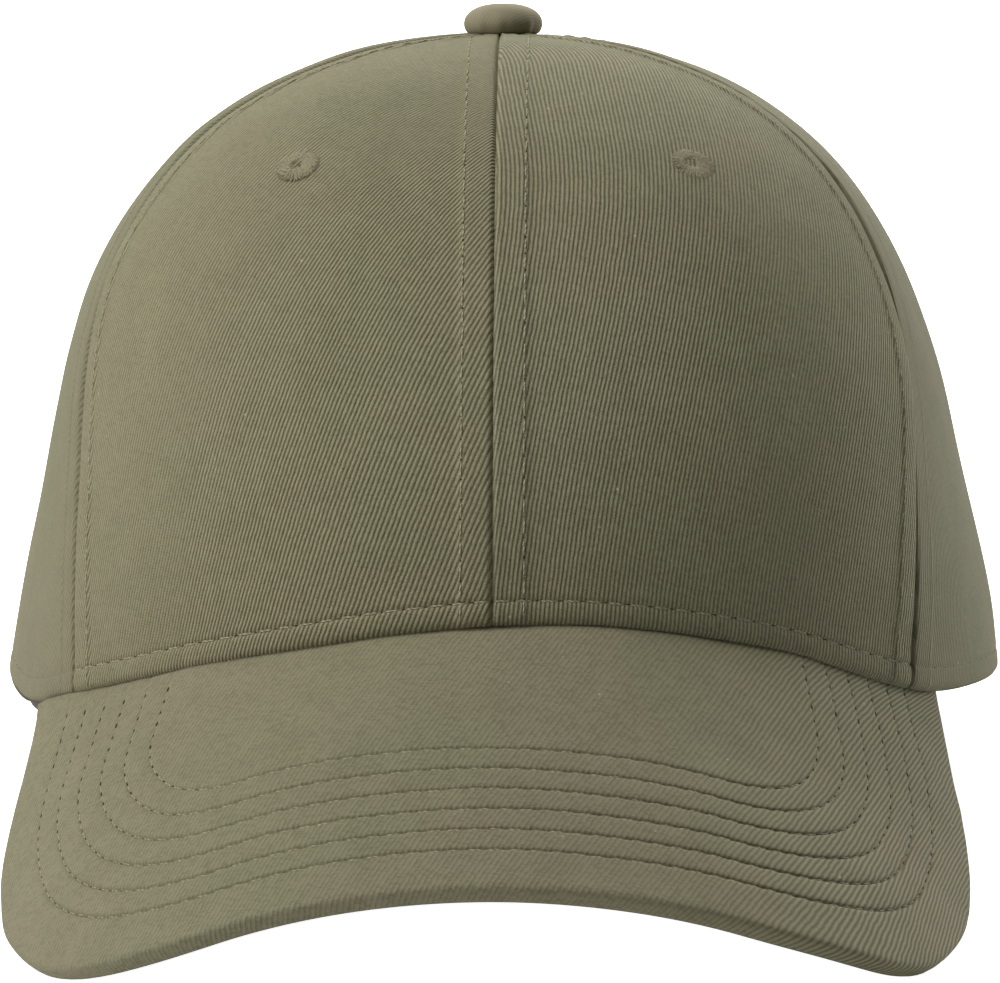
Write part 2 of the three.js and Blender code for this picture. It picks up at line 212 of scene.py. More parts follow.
def peakSettled(flat, depth=0.0):
    across, ahead = flat[..., 0], flat[..., 1]
    away = ahead - np.interp(across, seamAcross, seamAhead)
    lift = np.interp(across, seamAcross, seamRise) * (1 - smoothStep(away, 0, peak["settle"]))
    lift = lift - np.interp(across, droopPlaces, droopDepths) * smoothStep(ahead, *peak["droopAhead"])
    # the corners press flat against the surface and never reach below it
    under = peakPoint(flat, peak["thickness"])
    under[..., 2] += lift
    height = 1000 * (under @ rimMatrix[2, :3] + rimMatrix[2, 3])
    point = peakPoint(flat, depth)
    point[..., 2] += lift + (np.hypot(height, peak["cornerEase"]) - height) / 2
    for side, table in peak["spread"].items():
        out = np.interp(ahead, table["ahead"], table["out"])
        point[..., 0] += side * out * smoothStep(side * across, *peak["spreadAcross"])
    return point


def crownPoint(angle, climb):
    # the crown's smooth form: angle round from the front, climb from 0 at the hem to 1 at the top
    angle, climb = np.broadcast_arrays(np.asarray(angle, float), np.asarray(climb, float))
    down = 1 - climb
    weights = [down ** 3, 3 * climb * down ** 2, 3 * climb ** 2 * down]
    heights = [rimHeight(angle), *crown["ringHeights"]]
    reach = sum(w * ringReach(ring, angle) for w, ring in zip(weights, crown["rings"]))
    height = climb ** 3 * crown["height"] + sum(w * h for w, h in zip(weights, heights))
    x = reach * np.sin(angle)
    for part in crown["worn"]:
        share = np.clip(part["side"] * x / crown["wornAt"], 0, None) ** part["power"]
        x = x + part["side"] * part["out"] * share * hump(height, part["over"], part["height"])
    return np.stack([x, crown["topBack"] * smoothStep(climb) - reach * np.cos(angle), height], -1)


def crownNormal(angle, climb, step=0.004):
    around = crownPoint(angle + step, climb) - crownPoint(angle - step, climb)
    up = crownPoint(angle, np.minimum(climb + step, 1)) - crownPoint(angle, np.maximum(climb - step, 0))
    return unit(np.cross(around, up))


def seamAngle(along, climb):
    # along counts panels from the front seam, plus to the left and minus to the right
    panels, side = np.abs(along), np.where(np.asarray(along) < 0, -1, 1)
    atLeft, atRight = (np.interp(panels, range(4), crown["seamsAtRim"][s]) for s in (1, -1))
    atRim = np.where(side < 0, atRight, atLeft)
    atTop = np.interp(panels, range(4), crown["seamsAtTop"])
    return np.radians(atRim + (atTop - atRim) * smoothStep(climb / crown["seamSettled"])) * side


def climbAtHeight(angle, height):
    # how far up the crown's form reaches a height, found by halving
    low, high = np.zeros(np.shape(angle)), np.ones(np.shape(angle))
    for _ in range(26):
        middle = (low + high) / 2
        under = crownPoint(angle, middle)[..., 2] < height
        low, high = np.where(under, middle, low), np.where(under, high, middle)
    return (low + high) / 2


def linearColour(hexValue):
    # sRGB hex to the linear red, green, blue and alpha that the shader takes
    channels = [int(hexValue[i:i + 2], 16) / 255 for i in (0, 2, 4)]
    return [c / 12.92 if c <= 0.04045 else ((c + 0.055) / 1.055) ** 2.4 for c in channels] + [1.0]


def feed(tree, socket, value):
    # an input takes a link from a socket or a node's first output, a colour as hex, or a plain value
    if isinstance(value, bpy.types.Node):
        value = value.outputs[0]
    if isinstance(value, bpy.types.NodeSocket):
        tree.links.new(value, socket)
    else:
        socket.default_value = linearColour(value) if isinstance(value, str) else value


def addNode(tree, kind, inputs=(), **settings):
    # settings are the node's properties; inputs go to its sockets in order, or by name or number
    node = tree.nodes.new(kind)
    for name, value in settings.items():
        setattr(node, name, value)
    for key, value in (inputs.items() if isinstance(inputs, dict) else enumerate(inputs)):
        feed(tree, node.inputs[key], value)
    return node


mathNode, mixNode, rangeNode, noiseNode = (
    "ShaderNode" + kind for kind in ("Math", "Mix", "MapRange", "TexNoise"))


def startMaterial(name, **constants):
    # a material, its tree, its shader, and the places to paint by: the object's own, and the UV map's U and V
    material = bpy.data.materials.new(name)
    material.use_nodes = True
    tree = material.node_tree
    shader = tree.nodes["Principled BSDF"]
    for key, value in {"Metallic": 0.0, **constants}.items():
        feed(tree, shader.inputs[key.replace("_", " ")], value)
    place = addNode(tree, "ShaderNodeTexCoord").outputs["Object"]
    weave = addNode(tree, "ShaderNodeSeparateXYZ", [addNode(tree, "ShaderNodeUVMap", uv_map="weave")])
    return material, tree, shader, place, weave.outputs[:2]


def finishMaterial(tree, shader, colour, height, strength, distance):
    bump = addNode(tree, "ShaderNodeBump", {"Height": height, "Strength": strength, "Distance": distance})
    feed(tree, shader.inputs["Base Color"], colour)
    feed(tree, shader.inputs["Normal"], bump)


# Cotton twill, woven in diagonal ribs, piece dyed olive and washed soft: matt, pale worn ribs, narrow dark
# furrows broken by the weft, no two floats quite alike, a greenish and brownish cloud of dye, pale lint and
# a faint bloom at grazing angles. UV map "weave" is in millimetres: U across the ribs, V up the warp.
twill = {
    "pale": "8F8B6E",
    "furrow": "5E5942",
    "greener": "6F7557",
    "browner": "80765F",
    "dyed": 0.16,          # how much the clouds of dye show
    "lint": "C4C1AE",
    "bloom": "CFC8AA",
    "ribPitch": 0.85,      # a real 10 oz twill has 0.7 to 0.9 mm between ribs
    "pickPitch": 0.46,     # weft threads
    "furrowFrom": 0.1,     # where on the rib's wave the furrow starts and is deepest
    "furrowTo": -0.85,
    "openPicks": 0.3,      # how much a weft thread lightens the furrow
    "stagger": 0.36,       # how far each rib's picks stand above its neighbour's, in picks
    "uneven": 0.34,        # tone differences between floats
    "grain": 0.7,
    "wander": 0.08,        # how far a rib strays sideways, in millimetres
    "ribHeight": 0.00015,  # metres
    "roughness": 0.92,
}
# The peak's cloth is drawn tight over its board and rubbed smoother: finer, shallower furrows.
peakTwill = {
    **twill, "pale": "807C64", "furrow": "6C6750", "furrowFrom": -0.3, "furrowTo": -1.0, "uneven": 1.1,
    "grain": 2.2, "wander": 0.12, "ribHeight": 0.00005, "openPicks": 0.35,
    # painted shade and highlights: towards the wearer's left the ribs are painted rounder, with darker furrows,
    # over these metres across, where the light grazes the peak
    "paintedRibShade": {"pale": "8A866C", "furrow": "55513B", "from": 0.02, "to": 0.07},
}
# The left front panel is cut the other way of the nap; its narrower pale cords on a darker ground are painted shade
# with thin painted highlights, for the light that grazes this panel.
paintedShadeLook = {**twill, "pale": "918E72", "furrow": "5D5840", "furrowFrom": 0.5, "furrowTo": -0.55,
               "openPicks": 0.35}
# The side and back panels have no stiffening and are washed flatter.
flatTwill = {**twill, "pale": "807C64", "furrow": "635F49", "uneven": 0.3, "grain": 0.4, "ribHeight": 0.00008}
# The button's cloth is stretched over its mould, which closes the furrows.
buttonTwill = {**twill, "pale": "8E876F", "furrow": "867F68", "uneven": 0.5, "grain": 0.9,
               "ribHeight": 0.00001}


def makeTwill(name, look):
    material, tree, shader, place, (weaveAcross, weaveUp) = startMaterial(
        name, Specular_IOR_Level=0.25, Sheen_Weight=0.15, Sheen_Roughness=0.5, Sheen_Tint=look["bloom"])
    add = partial(addNode, tree)
    stray = add(noiseNode, {"Vector": place, "Scale": 260.0, "Detail": 3.0})
    fine = add(noiseNode, {"Vector": place, "Scale": 3000.0})
    shift = add(mathNode, (stray, look["wander"] * 5, look["wander"] * -2.5), operation="MULTIPLY_ADD")
    ribs = add(mathNode, (add(mathNode, (weaveAcross, shift)), look["ribPitch"]), operation="DIVIDE")
    picks = add(mathNode, (add(mathNode, (weaveUp, shift)), look["pickPitch"]), operation="DIVIDE")
    picks = add(mathNode, (ribs, look["stagger"], picks), operation="MULTIPLY_ADD")
    ribWave, pickWave = (
        add(mathNode, [add(mathNode, (count, fullTurn), operation="MULTIPLY")], operation="COSINE")
        for count in (ribs, picks))
    pick = add(mathNode, (pickWave, 0.5, 0.5), operation="MULTIPLY_ADD")
    # one number for each float of warp between two picks
    ribNumber = add(mathNode, [add(mathNode, (ribs, 0.5))], operation="FLOOR")
    cell = add("ShaderNodeCombineXYZ", (ribNumber, add(mathNode, [picks], operation="FLOOR")))
    floatNumber = add("ShaderNodeTexWhiteNoise", {"Vector": cell}).outputs["Value"]
    furrow = add(rangeNode, (ribWave, look["furrowFrom"], look["furrowTo"]), interpolation_type="SMOOTHSTEP")
    openness = add(mathNode, (pick, -look["openPicks"], 1.0), operation="MULTIPLY_ADD")
    dark = add(mathNode, (furrow, openness), operation="MULTIPLY")
    # nap and uneven yarn lighten or darken whole floats and single fibres
    for part, amount in ((floatNumber, look["uneven"]), (fine, look["grain"])):
        dark = add(mathNode, (dark, add(mathNode, (part, amount, -amount / 2), operation="MULTIPLY_ADD")))
    colour = add(mixNode, {0: dark, 6: look["pale"], 7: look["furrow"]}, data_type="RGBA").outputs[2]
    # painted shade and highlights: across a band of the piece the ribs change to rounder ones with darker furrows,
    # standing in for the light that grazes that side
    if "paintedRibShade" in look:
        kept = look["paintedRibShade"]
        sideways = add("ShaderNodeSeparateXYZ", [place])
        paintedRibShade = add(rangeNode, (sideways, kept["from"], kept["to"]), interpolation_type="SMOOTHSTEP")
        paintedShadeDark = add(mathNode, (add(rangeNode, (ribWave, 0.9, -0.9)),
                                   add(mathNode, (fine, 0.5, -0.25), operation="MULTIPLY_ADD")))
        paintedShadeRibs = add(mixNode, {0: paintedShadeDark, 6: kept["pale"], 7: kept["furrow"]}, data_type="RGBA").outputs[2]
        colour = add(mixNode, {0: paintedRibShade, 6: colour, 7: paintedShadeRibs}, data_type="RGBA").outputs[2]
    # dye clouds, 20 to 40 mm across, and blotches of a few millimetres
    cloud = add(noiseNode, {"Vector": place, "Scale": 30.0, "Roughness": 0.6})
    cloud = add(rangeNode, (cloud, 0.38, 0.62), interpolation_type="SMOOTHSTEP")
    dye = add(mixNode, {0: cloud, 6: look["greener"], 7: look["browner"]}, data_type="RGBA").outputs[2]
    colour = add(mixNode, {0: look["dyed"], 6: colour, 7: dye}, data_type="RGBA").outputs[2]
    blotch = add(noiseNode, {"Vector": place, "Scale": 160.0, "Detail": 3.0})
    shade = add("ShaderNodeCombineColor", [add(rangeNode, (blotch, 0.3, 0.7, 0.96, 1.04))] * 3)
    colour = add(mixNode, {0: 1.0, 6: colour, 7: shade}, data_type="RGBA", blend_type="MULTIPLY").outputs[2]
    # short pale fibres and specks caught on the nap, in one cell of twenty
    speck = add("ShaderNodeTexVoronoi", {"Vector": place, "Scale": 330.0})
    speckNumber = add("ShaderNodeSeparateColor", [speck.outputs["Color"]])
    rare = add(mathNode, (speckNumber, 0.95), operation="GREATER_THAN")
    near = add(rangeNode, (speck.outputs["Distance"], 0.05, 0.1, 1.0, 0.0))
    lint = add(mathNode, (add(mathNode, (near, rare), operation="MULTIPLY"), 0.5), operation="MULTIPLY")
    colour = add(mixNode, {0: lint, 6: colour, 7: look["lint"]}, data_type="RGBA").outputs[2]
    # the rib is round; its picks dip a little and its fibres roughen it
    roundRib = add(mathNode, (add(mathNode, (ribWave, 0.5, 0.5), operation="MULTIPLY_ADD"), 0.6), operation="POWER")
    height = add(mathNode, (roundRib, add(mathNode, (pick, 0.25), operation="MULTIPLY")), operation="SUBTRACT")
    for part, amount in ((floatNumber, 0.25), (fine, 0.7)):
        height = add(mathNode, (height, add(mathNode, (part, amount), operation="MULTIPLY")))
    finishMaterial(tree, shader, colour, height, 1.0, look["ribHeight"])
    rough = look["roughness"]
    feed(tree, shader.inputs["Roughness"], add(rangeNode, (dark, 0.0, 1.0, rough - 0.05, rough + 0.05)))
    return material


# Spun polyester sewing thread, two plies twisted: a shade lighter than the cloth, with a soft sheen and
# slanting ply lines. UV map "weave": U round the thread in turns, V along it in millimetres.
thread = {"light": "ABA68A", "dark": "7C775D", "bloom": "CFC8AA", "plies": 2, "twist": 1.1, "roughness": 0.75}
embroideryThread = {**thread, "light": "9B9679", "dark": "7A755C", "twist": 0.9, "roughness": 0.8}


def makeThread(name, look):
    material, tree, shader, place, (around, along) = startMaterial(
        name, Specular_IOR_Level=0.25, Sheen_Weight=0.15, Sheen_Roughness=0.4, Sheen_Tint=look["bloom"],
        Roughness=look["roughness"])
    add = partial(addNode, tree)
    turn = add(mathNode, (add(mathNode, (around, look["plies"] * fullTurn), operation="MULTIPLY"),
                          add(mathNode, (along, fullTurn / look["twist"]), operation="MULTIPLY")))
    ply = add(mathNode, (add(mathNode, [turn], operation="COSINE"), 0.5, 0.5), operation="MULTIPLY_ADD")
    fuzz = add(noiseNode, {"Vector": place, "Scale": 2500.0})
    tone = add(mathNode, (ply, add(mathNode, (fuzz, 0.8, -0.4), operation="MULTIPLY_ADD")))
    colour = add(mixNode, {0: tone, 6: look["dark"], 7: look["light"]}, data_type="RGBA").outputs[2]
    finishMaterial(tree, shader, colour, tone, 0.8, 0.00008)
    return material


# Brushed cotton for the sweatband, dyed dark grey: dull, with a plain weave almost hidden by the nap.
bandCloth = {"light": "504D48", "dark": "363430", "threadPitch": 0.5, "roughness": 0.96}


def makeBandCloth(name, look):
    material, tree, shader, place, ways = startMaterial(
        name, Specular_IOR_Level=0.2, Sheen_Weight=0.3, Sheen_Roughness=0.6, Roughness=look["roughness"])
    add = partial(addNode, tree)
    turns = [add(mathNode, (way, math.pi / look["threadPitch"]), operation="MULTIPLY") for way in ways]
    threads = [add(mathNode, [add(mathNode, [turn], operation="SINE")], operation="ABSOLUTE") for turn in turns]
    cloth = add(mathNode, (add(mathNode, threads, operation="MULTIPLY"), 0.5), operation="MULTIPLY")
    nap = add(noiseNode, {"Vector": place, "Scale": 900.0, "Detail": 4.0})
    tone = add(mathNode, (cloth, add(mathNode, (nap, 0.6), operation="MULTIPLY")))
    colour = add(mixNode, {0: tone, 6: look["dark"], 7: look["light"]}, data_type="RGBA").outputs[2]
    finishMaterial(tree, shader, colour, tone, 0.7, 0.00012)
    return material


# The inside of pierced cloth, in shade: nearly black olive, so the needle holes read as holes.
pierced = {"colour": "453F2C", "deeper": 0.6}


def makeShade(name, look):
    material, tree, shader, place, _ = startMaterial(name, Specular_IOR_Level=0.1, Roughness=1.0)
    light = linearColour(look["colour"])
    deep = [c * look["deeper"] for c in light[:3]] + [1.0]
    grain = addNode(tree, noiseNode, {"Vector": place, "Scale": 1800.0})
    shade = addNode(tree, mixNode, {0: grain, 6: deep, 7: light}, data_type="RGBA").outputs[2]
    feed(tree, shader.inputs["Base Color"], shade)
    return material


print("making materials")
oliveTwill = makeTwill("olive_cotton_twill", twill)
# a twill with painted shade and thin painted highlights, for the left front panel
paintedShadeTwill = makeTwill("olive_cotton_twill_painted_shade_and_highlights", paintedShadeLook)
washedTwill = makeTwill("olive_cotton_twill_washed_flat", flatTwill)
# the peak's twill, with painted shade and highlights on its side towards the wearer's left
smoothTwill = makeTwill("olive_cotton_twill_drawn_tight_painted_shade", peakTwill)
softTwill = makeTwill("olive_cotton_twill_gathered", buttonTwill)
oliveThread = makeThread("olive_sewing_thread", thread)
eyeletThread = makeThread("olive_embroidery_thread", embroideryThread)
greyCotton = makeBandCloth("dark_grey_brushed_cotton", bandCloth)
holeShade = makeShade("pierced_twill_shadow", pierced)


class MeshParts:
    # gathers points, faces, weave coordinates and material numbers for one mesh
    def __init__(self):
        self.points, self.faces, self.weave, self.slots = [], [], [], []
        self.count = 0

    def add(self, points, faces, weave, slot=0):
        points = np.asarray(points, float).reshape(-1, 3)
        self.points.append(points)
        self.weave.append(np.asarray(weave, float).reshape(-1, 2))
        for face in faces:
            face = np.asarray(face, int)
            self.faces.append(face + self.count)
            self.slots.append(np.full(len(face), slot))
        self.count += len(points)
        return self


def makePiece(name, parts, materials, slotName, *nodes):
    world = np.concatenate(parts.points) @ rimMatrix[:3, :3].T + rimMatrix[:3, 3]
    loops = np.concatenate([f.ravel() for f in parts.faces])
    sizes = np.concatenate([np.full(len(f), f.shape[1]) for f in parts.faces])
    mesh = bpy.data.meshes.new(name)
    mesh.vertices.add(len(world))
    mesh.vertices.foreach_set("co", world.astype(np.float32).ravel())
    mesh.loops.add(len(loops))
    mesh.loops.foreach_set("vertex_index", loops.astype(np.int32))
    mesh.polygons.add(len(sizes))
    mesh.polygons.foreach_set("loop_start", np.concatenate([[0], np.cumsum(sizes)[:-1]]).astype(np.int32))
    mesh.polygons.foreach_set("material_index", np.concatenate(parts.slots).astype(np.int32))
    mesh.update(calc_edges=True)
    mesh.polygons.foreach_set("use_smooth", np.ones(len(sizes), bool))
    layer = mesh.uv_layers.new(name="weave")
    layer.uv.foreach_set("vector", np.concatenate(parts.weave)[loops].astype(np.float32).ravel())
    mesh.validate()
    for material in materials:
        mesh.materials.append(material)
    piece = bpy.data.objects.new(name, mesh)
    bpy.context.scene.collection.objects.link(piece)
    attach(piece, "root")
    if nodes:
        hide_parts(*nodes)
    return piece


def gridFaces(columns, rows, flip=False, loop=False):
    # quads of a grid whose points run column by column; loop joins the last column to the first
    i, j = np.meshgrid(np.arange(columns if loop else columns - 1), np.arange(rows - 1), indexing="ij")
    here, after = i * rows + j, (i + 1) % columns * rows + j
    quads = np.stack([here, after, after + 1, here + 1], -1).reshape(-1, 4)
    return quads[:, ::-1] if flip else quads


def wallFaces(grid, count):
    # joins the outer face's open edges to the inner face's
    edges = np.concatenate([grid[:, [k, (k + 1) % 4]] for k in range(4)])
    size = edges.max() + 1
    lonely = ~np.isin(edges[:, 0] * size + edges[:, 1], edges[:, 1] * size + edges[:, 0])
    a, b = edges[lonely].T
    return np.stack([b, a, a + count, b + count], -1)


def sheetBetween(outer, inner, weave, flip=False, keep=None, innerShift=0.0):
    # one closed body between an outer and an inner grid; keep says which cells of the grid it has
    columns, rows = outer.shape[:2]
    count = columns * rows
    grid = gridFaces(columns, rows, flip=flip)
    if keep is not None:
        grid = grid[keep.ravel()]
    faces = [grid, grid[:, ::-1] + count, wallFaces(grid, count)]
    points = np.concatenate([outer.reshape(-1, 3), inner.reshape(-1, 3)])
    weave = weave.reshape(-1, 2)
    weave = np.concatenate([weave, weave + innerShift])
    # points that no face uses are left out
    used = np.unique(np.concatenate([f.ravel() for f in faces]))
    number = np.full(len(points), -1)
    number[used] = np.arange(len(used))
    return MeshParts().add(points[used], [number[f] for f in faces], weave[used])


def softWaves(points, size, seed, amount):
    # a few crossed waves that make the cloth slightly uneven
    waves = np.random.default_rng(seed)
    total = np.zeros(points.shape[:-1])
    for _ in range(7):
        direction = unit(waves.normal(size=3))
        pitch = size * waves.uniform(0.7, 1.5)
        total += np.sin(points @ direction * fullTurn / pitch + waves.uniform(0, 6.28))
    return total * amount / 3


print("making panels")
# Each panel is measured on its own cloth: across from its first seam, and rise up from its hem.
panel = {
    "rowStep": 1.0,
    "alongSteps": 61,
    "climbSteps": 321,
    "seamDepth": {1: 0.5625, -1: 0.825},
    "shallowSeam": 0.3,    # share of that depth on the left side panel, along the front seam
    "seamWidth": 0.42,
    "allowance": 5.5,      # seam allowance, topstitched down
    "allowanceLift": 0.32,
    "pucker": {"height": 0.05, "pitch": 3.6},
    "stitchLine": 5.35,
    "stitchSink": 0.13,
    "edgeSink": 0.35,      # share of that beside the front panels' side seams
    "pipeLift": {1: 0.32, -1: 0.62},    # the side panels' allowance behind the front seam
    "pipeRidge": {1: 0.084, -1: 0.28},
    "middleRidge": {"lift": 0.16, "at": 0.7, "width": 0.7},    # the left front panel, beside the middle seam
    "rollDown": {"drop": 0.2, "width": 1.8},
    "bow": {"size": 60, "amount": 0.28, "seed": 11},    # how uneven the cloth hangs, and its small waves
    "ripple": {"size": 17, "amount": 0.07, "seed": 5},
    "hemLine": 4.25,
    "hemLift": 0.42,
    "hemSink": 0.18,
    "hemRoll": {"middle": 1.9, "reach": 2.35},
    "hemShoulder": {"lift": 0.12, "above": 1.1, "width": 0.7},
    "hemFold": 1.5,        # how far up the folded hem is rounded
    "hemGap": 0.5,         # between its two faces at the lowest line
    "hemBehind": {"share": 0.35, "besideFront": 0.3, "over": 6},    # its strength on the other panels
    "ridesUp": {"lift": 0.8, "over": 2, "ahead": (0.4, 0.7)},       # the inner face's edge, on the peak
    "grooveWidth": 0.3,
    "narrow": 14.0,        # below this width the stitch lines close in on each other
    "seamColumns": [0, 0.18, 0.4, 0.7, 1.1, 1.7, 2.5, 3.4, 4.3, 4.85, 5.1, 5.35, 5.6, 5.85, 6.3, 6.9],
    "hemRows": [0, 0.12, 0.35, 0.7, 1.15, 1.7, 2.4, 3.1, 3.7, 4.0, 4.25, 4.5, 4.8, 5.3, 6.1, 7.2],
    "middleStep": 1.9,
    "riseStep": 2.0,
}
panelNames = ["front", "side", "back"]
# How the ribs lean from each panel's middle line, how that grows with rise and across, and how fine they are.
leans = {
    (1, 0): {"lean": 14.6, "perRise": 0.0030, "perAcross": 0.0005, "finer": 1.14,
             "over": 0.022, "overFrom": 122},
    (-1, 0): {"lean": 22.5, "perAcross": 0.0016, "finer": 0.89, "fan": 0.36, "fanFrom": -24},
    (1, 1): {"lean": 14.0, "perRise": 0.0010, "finer": 1.2},
    (-1, 1): {"lean": 19.0, "finer": 1.2},
    (1, 2): {"lean": 17.0, "finer": 1.15},
    (-1, 2): {"lean": 17.0, "finer": 1.15},
}
ribPlan = {
    "leanFrom": 60.0,      # the rise at which they have their lean
    "fanEase": 9,          # how softly the fan begins
    "pickLean": 0.06,      # how far V rises for each millimetre across
    "panelsApart": 40,     # so that the pattern starts elsewhere on each panel
    "sidesApart": 17,
}


def ribCoordinates(across, rise, lean, perRise=0.0, perAcross=0.0, finer=1.0, fan=0.0, fanFrom=0.0,
                   over=0.0, overFrom=0.0):
    # U across the ribs and V along them, for ribs that lean to the right going up
    slant = math.tan(math.radians(lean))
    up = rise - ribPlan["leanFrom"]
    straight = (1 - perAcross * up) * across - slant * up - 0.5 * perRise * up ** 2
    straight = straight + 0.5 * over * np.clip(rise - overFrom, 0, None) ** 2
    ribs = straight * math.cos(math.radians(lean)) * finer
    # past fanFrom to the left the ribs draw closer together
    past = -ribs - fanFrom
    drawn = fan * (past + np.hypot(past, ribPlan["fanEase"])) / 2
    return np.stack([ribs - drawn, rise + across * ribPlan["pickLean"]], -1)


class PanelMap:
    # tables that place a point of one panel by millimetres on the cloth
    def __init__(self, first, side):
        self.first, self.side = first, side
        self.fractions = np.linspace(0, 1, panel["alongSteps"])
        climbs = np.linspace(0, crown["panelTop"], panel["climbSteps"])
        along, climb = np.meshgrid(first + self.fractions, climbs, indexing="ij")
        rises = lengthsAlong(crownPoint(seamAngle(side * along, climb), climb))
        height = rises[:, -1].min()
        # every row keeps its share of the rise, so rows near the hem follow it and the last ends at the top
        self.rows = np.arange(0, height, panel["rowStep"])
        settled = smoothStep(self.rows / height, 0.1, 1)
        self.climbOf = np.stack([np.interp(self.rows + (line[-1] - height) * settled, line, climbs)
                                 for line in rises], 1)
        angle = seamAngle(side * (first + self.fractions)[None], self.climbOf)
        self.across = lengthsAlong(crownPoint(angle, self.climbOf))
        self.width = self.across[:, -1]

    def widthAt(self, rise):
        return np.interp(rise, self.rows, self.width)

    def place(self, across, rise):
        # angle and climb of points given across from the first seam and rise above the hem
        shape = across.shape
        across, rise = across.ravel(), np.clip(rise.ravel(), 0, self.rows[-1])
        low = np.minimum((rise / panel["rowStep"]).astype(int), len(self.rows) - 2)
        part = rise / panel["rowStep"] - low
        share = across / np.maximum(self.widthAt(rise), 1e-6)
        found = np.empty((2, len(across)))
        for row in np.unique(low):
            pick = low == row
            below, above = (np.stack([np.interp(share[pick] * self.width[r], self.across[r], values)
                                      for values in (self.fractions, self.climbOf[r])])
                            for r in (row, row + 1))
            found[:, pick] = below * (1 - part[pick]) + above * part[pick]
        fraction, climb = found
        return seamAngle(self.side * (self.first + fraction), climb).reshape(shape), climb.reshape(shape)


def narrowing(width):
    return np.minimum(1, width / panel["narrow"])


def clothWaves(points, side, first, waves):
    return softWaves(points, waves["size"], waves["seed"] + first + side, waves["amount"])


def panelRelief(side, first, across, rise, points):
    # how far the outer face stands above the crown's smooth form
    width = panelMaps[side, first].widthAt(rise)
    fromA, fromB = across / narrowing(width), (width - across) / narrowing(width)
    relief = sum(clothWaves(points, side, first, panel[waves]) for waves in ("bow", "ripple"))
    lastSeam = (fromB, False, panel["edgeSink"] if first == 0 else 1)
    for distance, pressed, sewn in ((fromA, first == 1, 1), lastSeam):
        sunk = panel["seamDepth"][side] * (panel["shallowSeam"] if pressed and side > 0 else 1)
        relief = relief - sunk * hump(distance, panel["seamWidth"])
        edge = 1 - smoothStep(distance, panel["allowance"] - 0.1, panel["allowance"] + 0.7)
        if pressed:
            # behind the front seam the allowance is pressed over as a soft pipe with an edge
            along = np.clip(distance / panel["allowance"], 0, 1)
            swell = 1 - 0.4 * along if side > 0 else 0.5 + 0.4 * np.sin(along * math.pi)
            ridge = panel["pipeRidge"][side] * hump(distance, 0.4, panel["allowance"] - 0.25)
            relief = relief + (panel["pipeLift"][side] * swell + ridge) * edge
        else:
            puckers = panel["pucker"]["height"] * np.sin(rise * fullTurn / panel["pucker"]["pitch"] + distance)
            lift = panel["allowanceLift"] + puckers * smoothStep(distance, 1, 4)
            groove = sewn * panel["stitchSink"] * hump(distance, panel["grooveWidth"], panel["stitchLine"])
            relief = relief + lift * edge - groove
    if first == 0:
        # the front panels' edges roll down to the side panels
        relief = relief - panel["rollDown"]["drop"] * hump(fromB, panel["rollDown"]["width"])
        if side > 0:
            ridge = panel["middleRidge"]
            relief = relief + ridge["lift"] * hump(fromA, ridge["width"], ridge["at"])
    return relief + hemRelief(first, rise, fromA)


def hemRelief(first, rise, fromA):
    # the hem is turned under and rolled; it is flatter away from the peak
    roll = np.sqrt(np.clip(1 - ((rise - panel["hemRoll"]["middle"]) / panel["hemRoll"]["reach"]) ** 2, 0, 1))
    behind = panel["hemBehind"]
    beside = behind["besideFront"] * np.exp(-fromA / behind["over"]) * (first == 1)
    strength = 1 if first == 0 else behind["share"] + beside
    groove = panel["hemSink"] * hump(rise, panel["grooveWidth"], panel["hemLine"])
    shoulder = panel["hemShoulder"]
    raised = shoulder["lift"] * hump(rise, shoulder["width"], panel["hemLine"] + shoulder["above"])
    return (panel["hemLift"] * roll + raised - groove) * strength


panelMaps = {(side, first): PanelMap(first, side) for side in sideNames for first in range(3)}
arch = {"halfWidth": 32, "foot": 9, "clearOfStitches": 6}    # straight up to the foot, then round
eyelet = {"alongs": [0.48, 1.6, 2.5], "climb": 0.6, "clothHole": 2.1}


def clothForm(side, first, across, rise):
    # the smooth form under a panel's cloth: points, normals, how far the outer face stands above, and angles
    across, rise = np.broadcast_arrays(np.asarray(across, float), np.asarray(rise, float))
    angle, climb = panelMaps[side, first].place(across, rise)
    base, normal = crownPoint(angle, climb), crownNormal(angle, climb)
    return base, normal, panelRelief(side, first, across, rise, base)[..., None], angle


def eyeletPlace(side, first):
    return seamAngle(side * eyelet["alongs"][first], eyelet["climb"]), eyelet["climb"]


def inArch(point):
    above = np.maximum(point[..., 2] - arch["foot"], 0)
    return (np.hypot(point[..., 0], above) < arch["halfWidth"]) & (point[..., 1] > 0)


def panelColumns(width, middles):
    # column places across a row: fixed distances beside both seams and even steps between
    near = np.array(panel["seamColumns"]) * narrowing(width)
    inner = np.linspace(near[-1], width - near[-1], middles + 2)[1:-1]
    return np.concatenate([near, inner, (width - near)[::-1]])


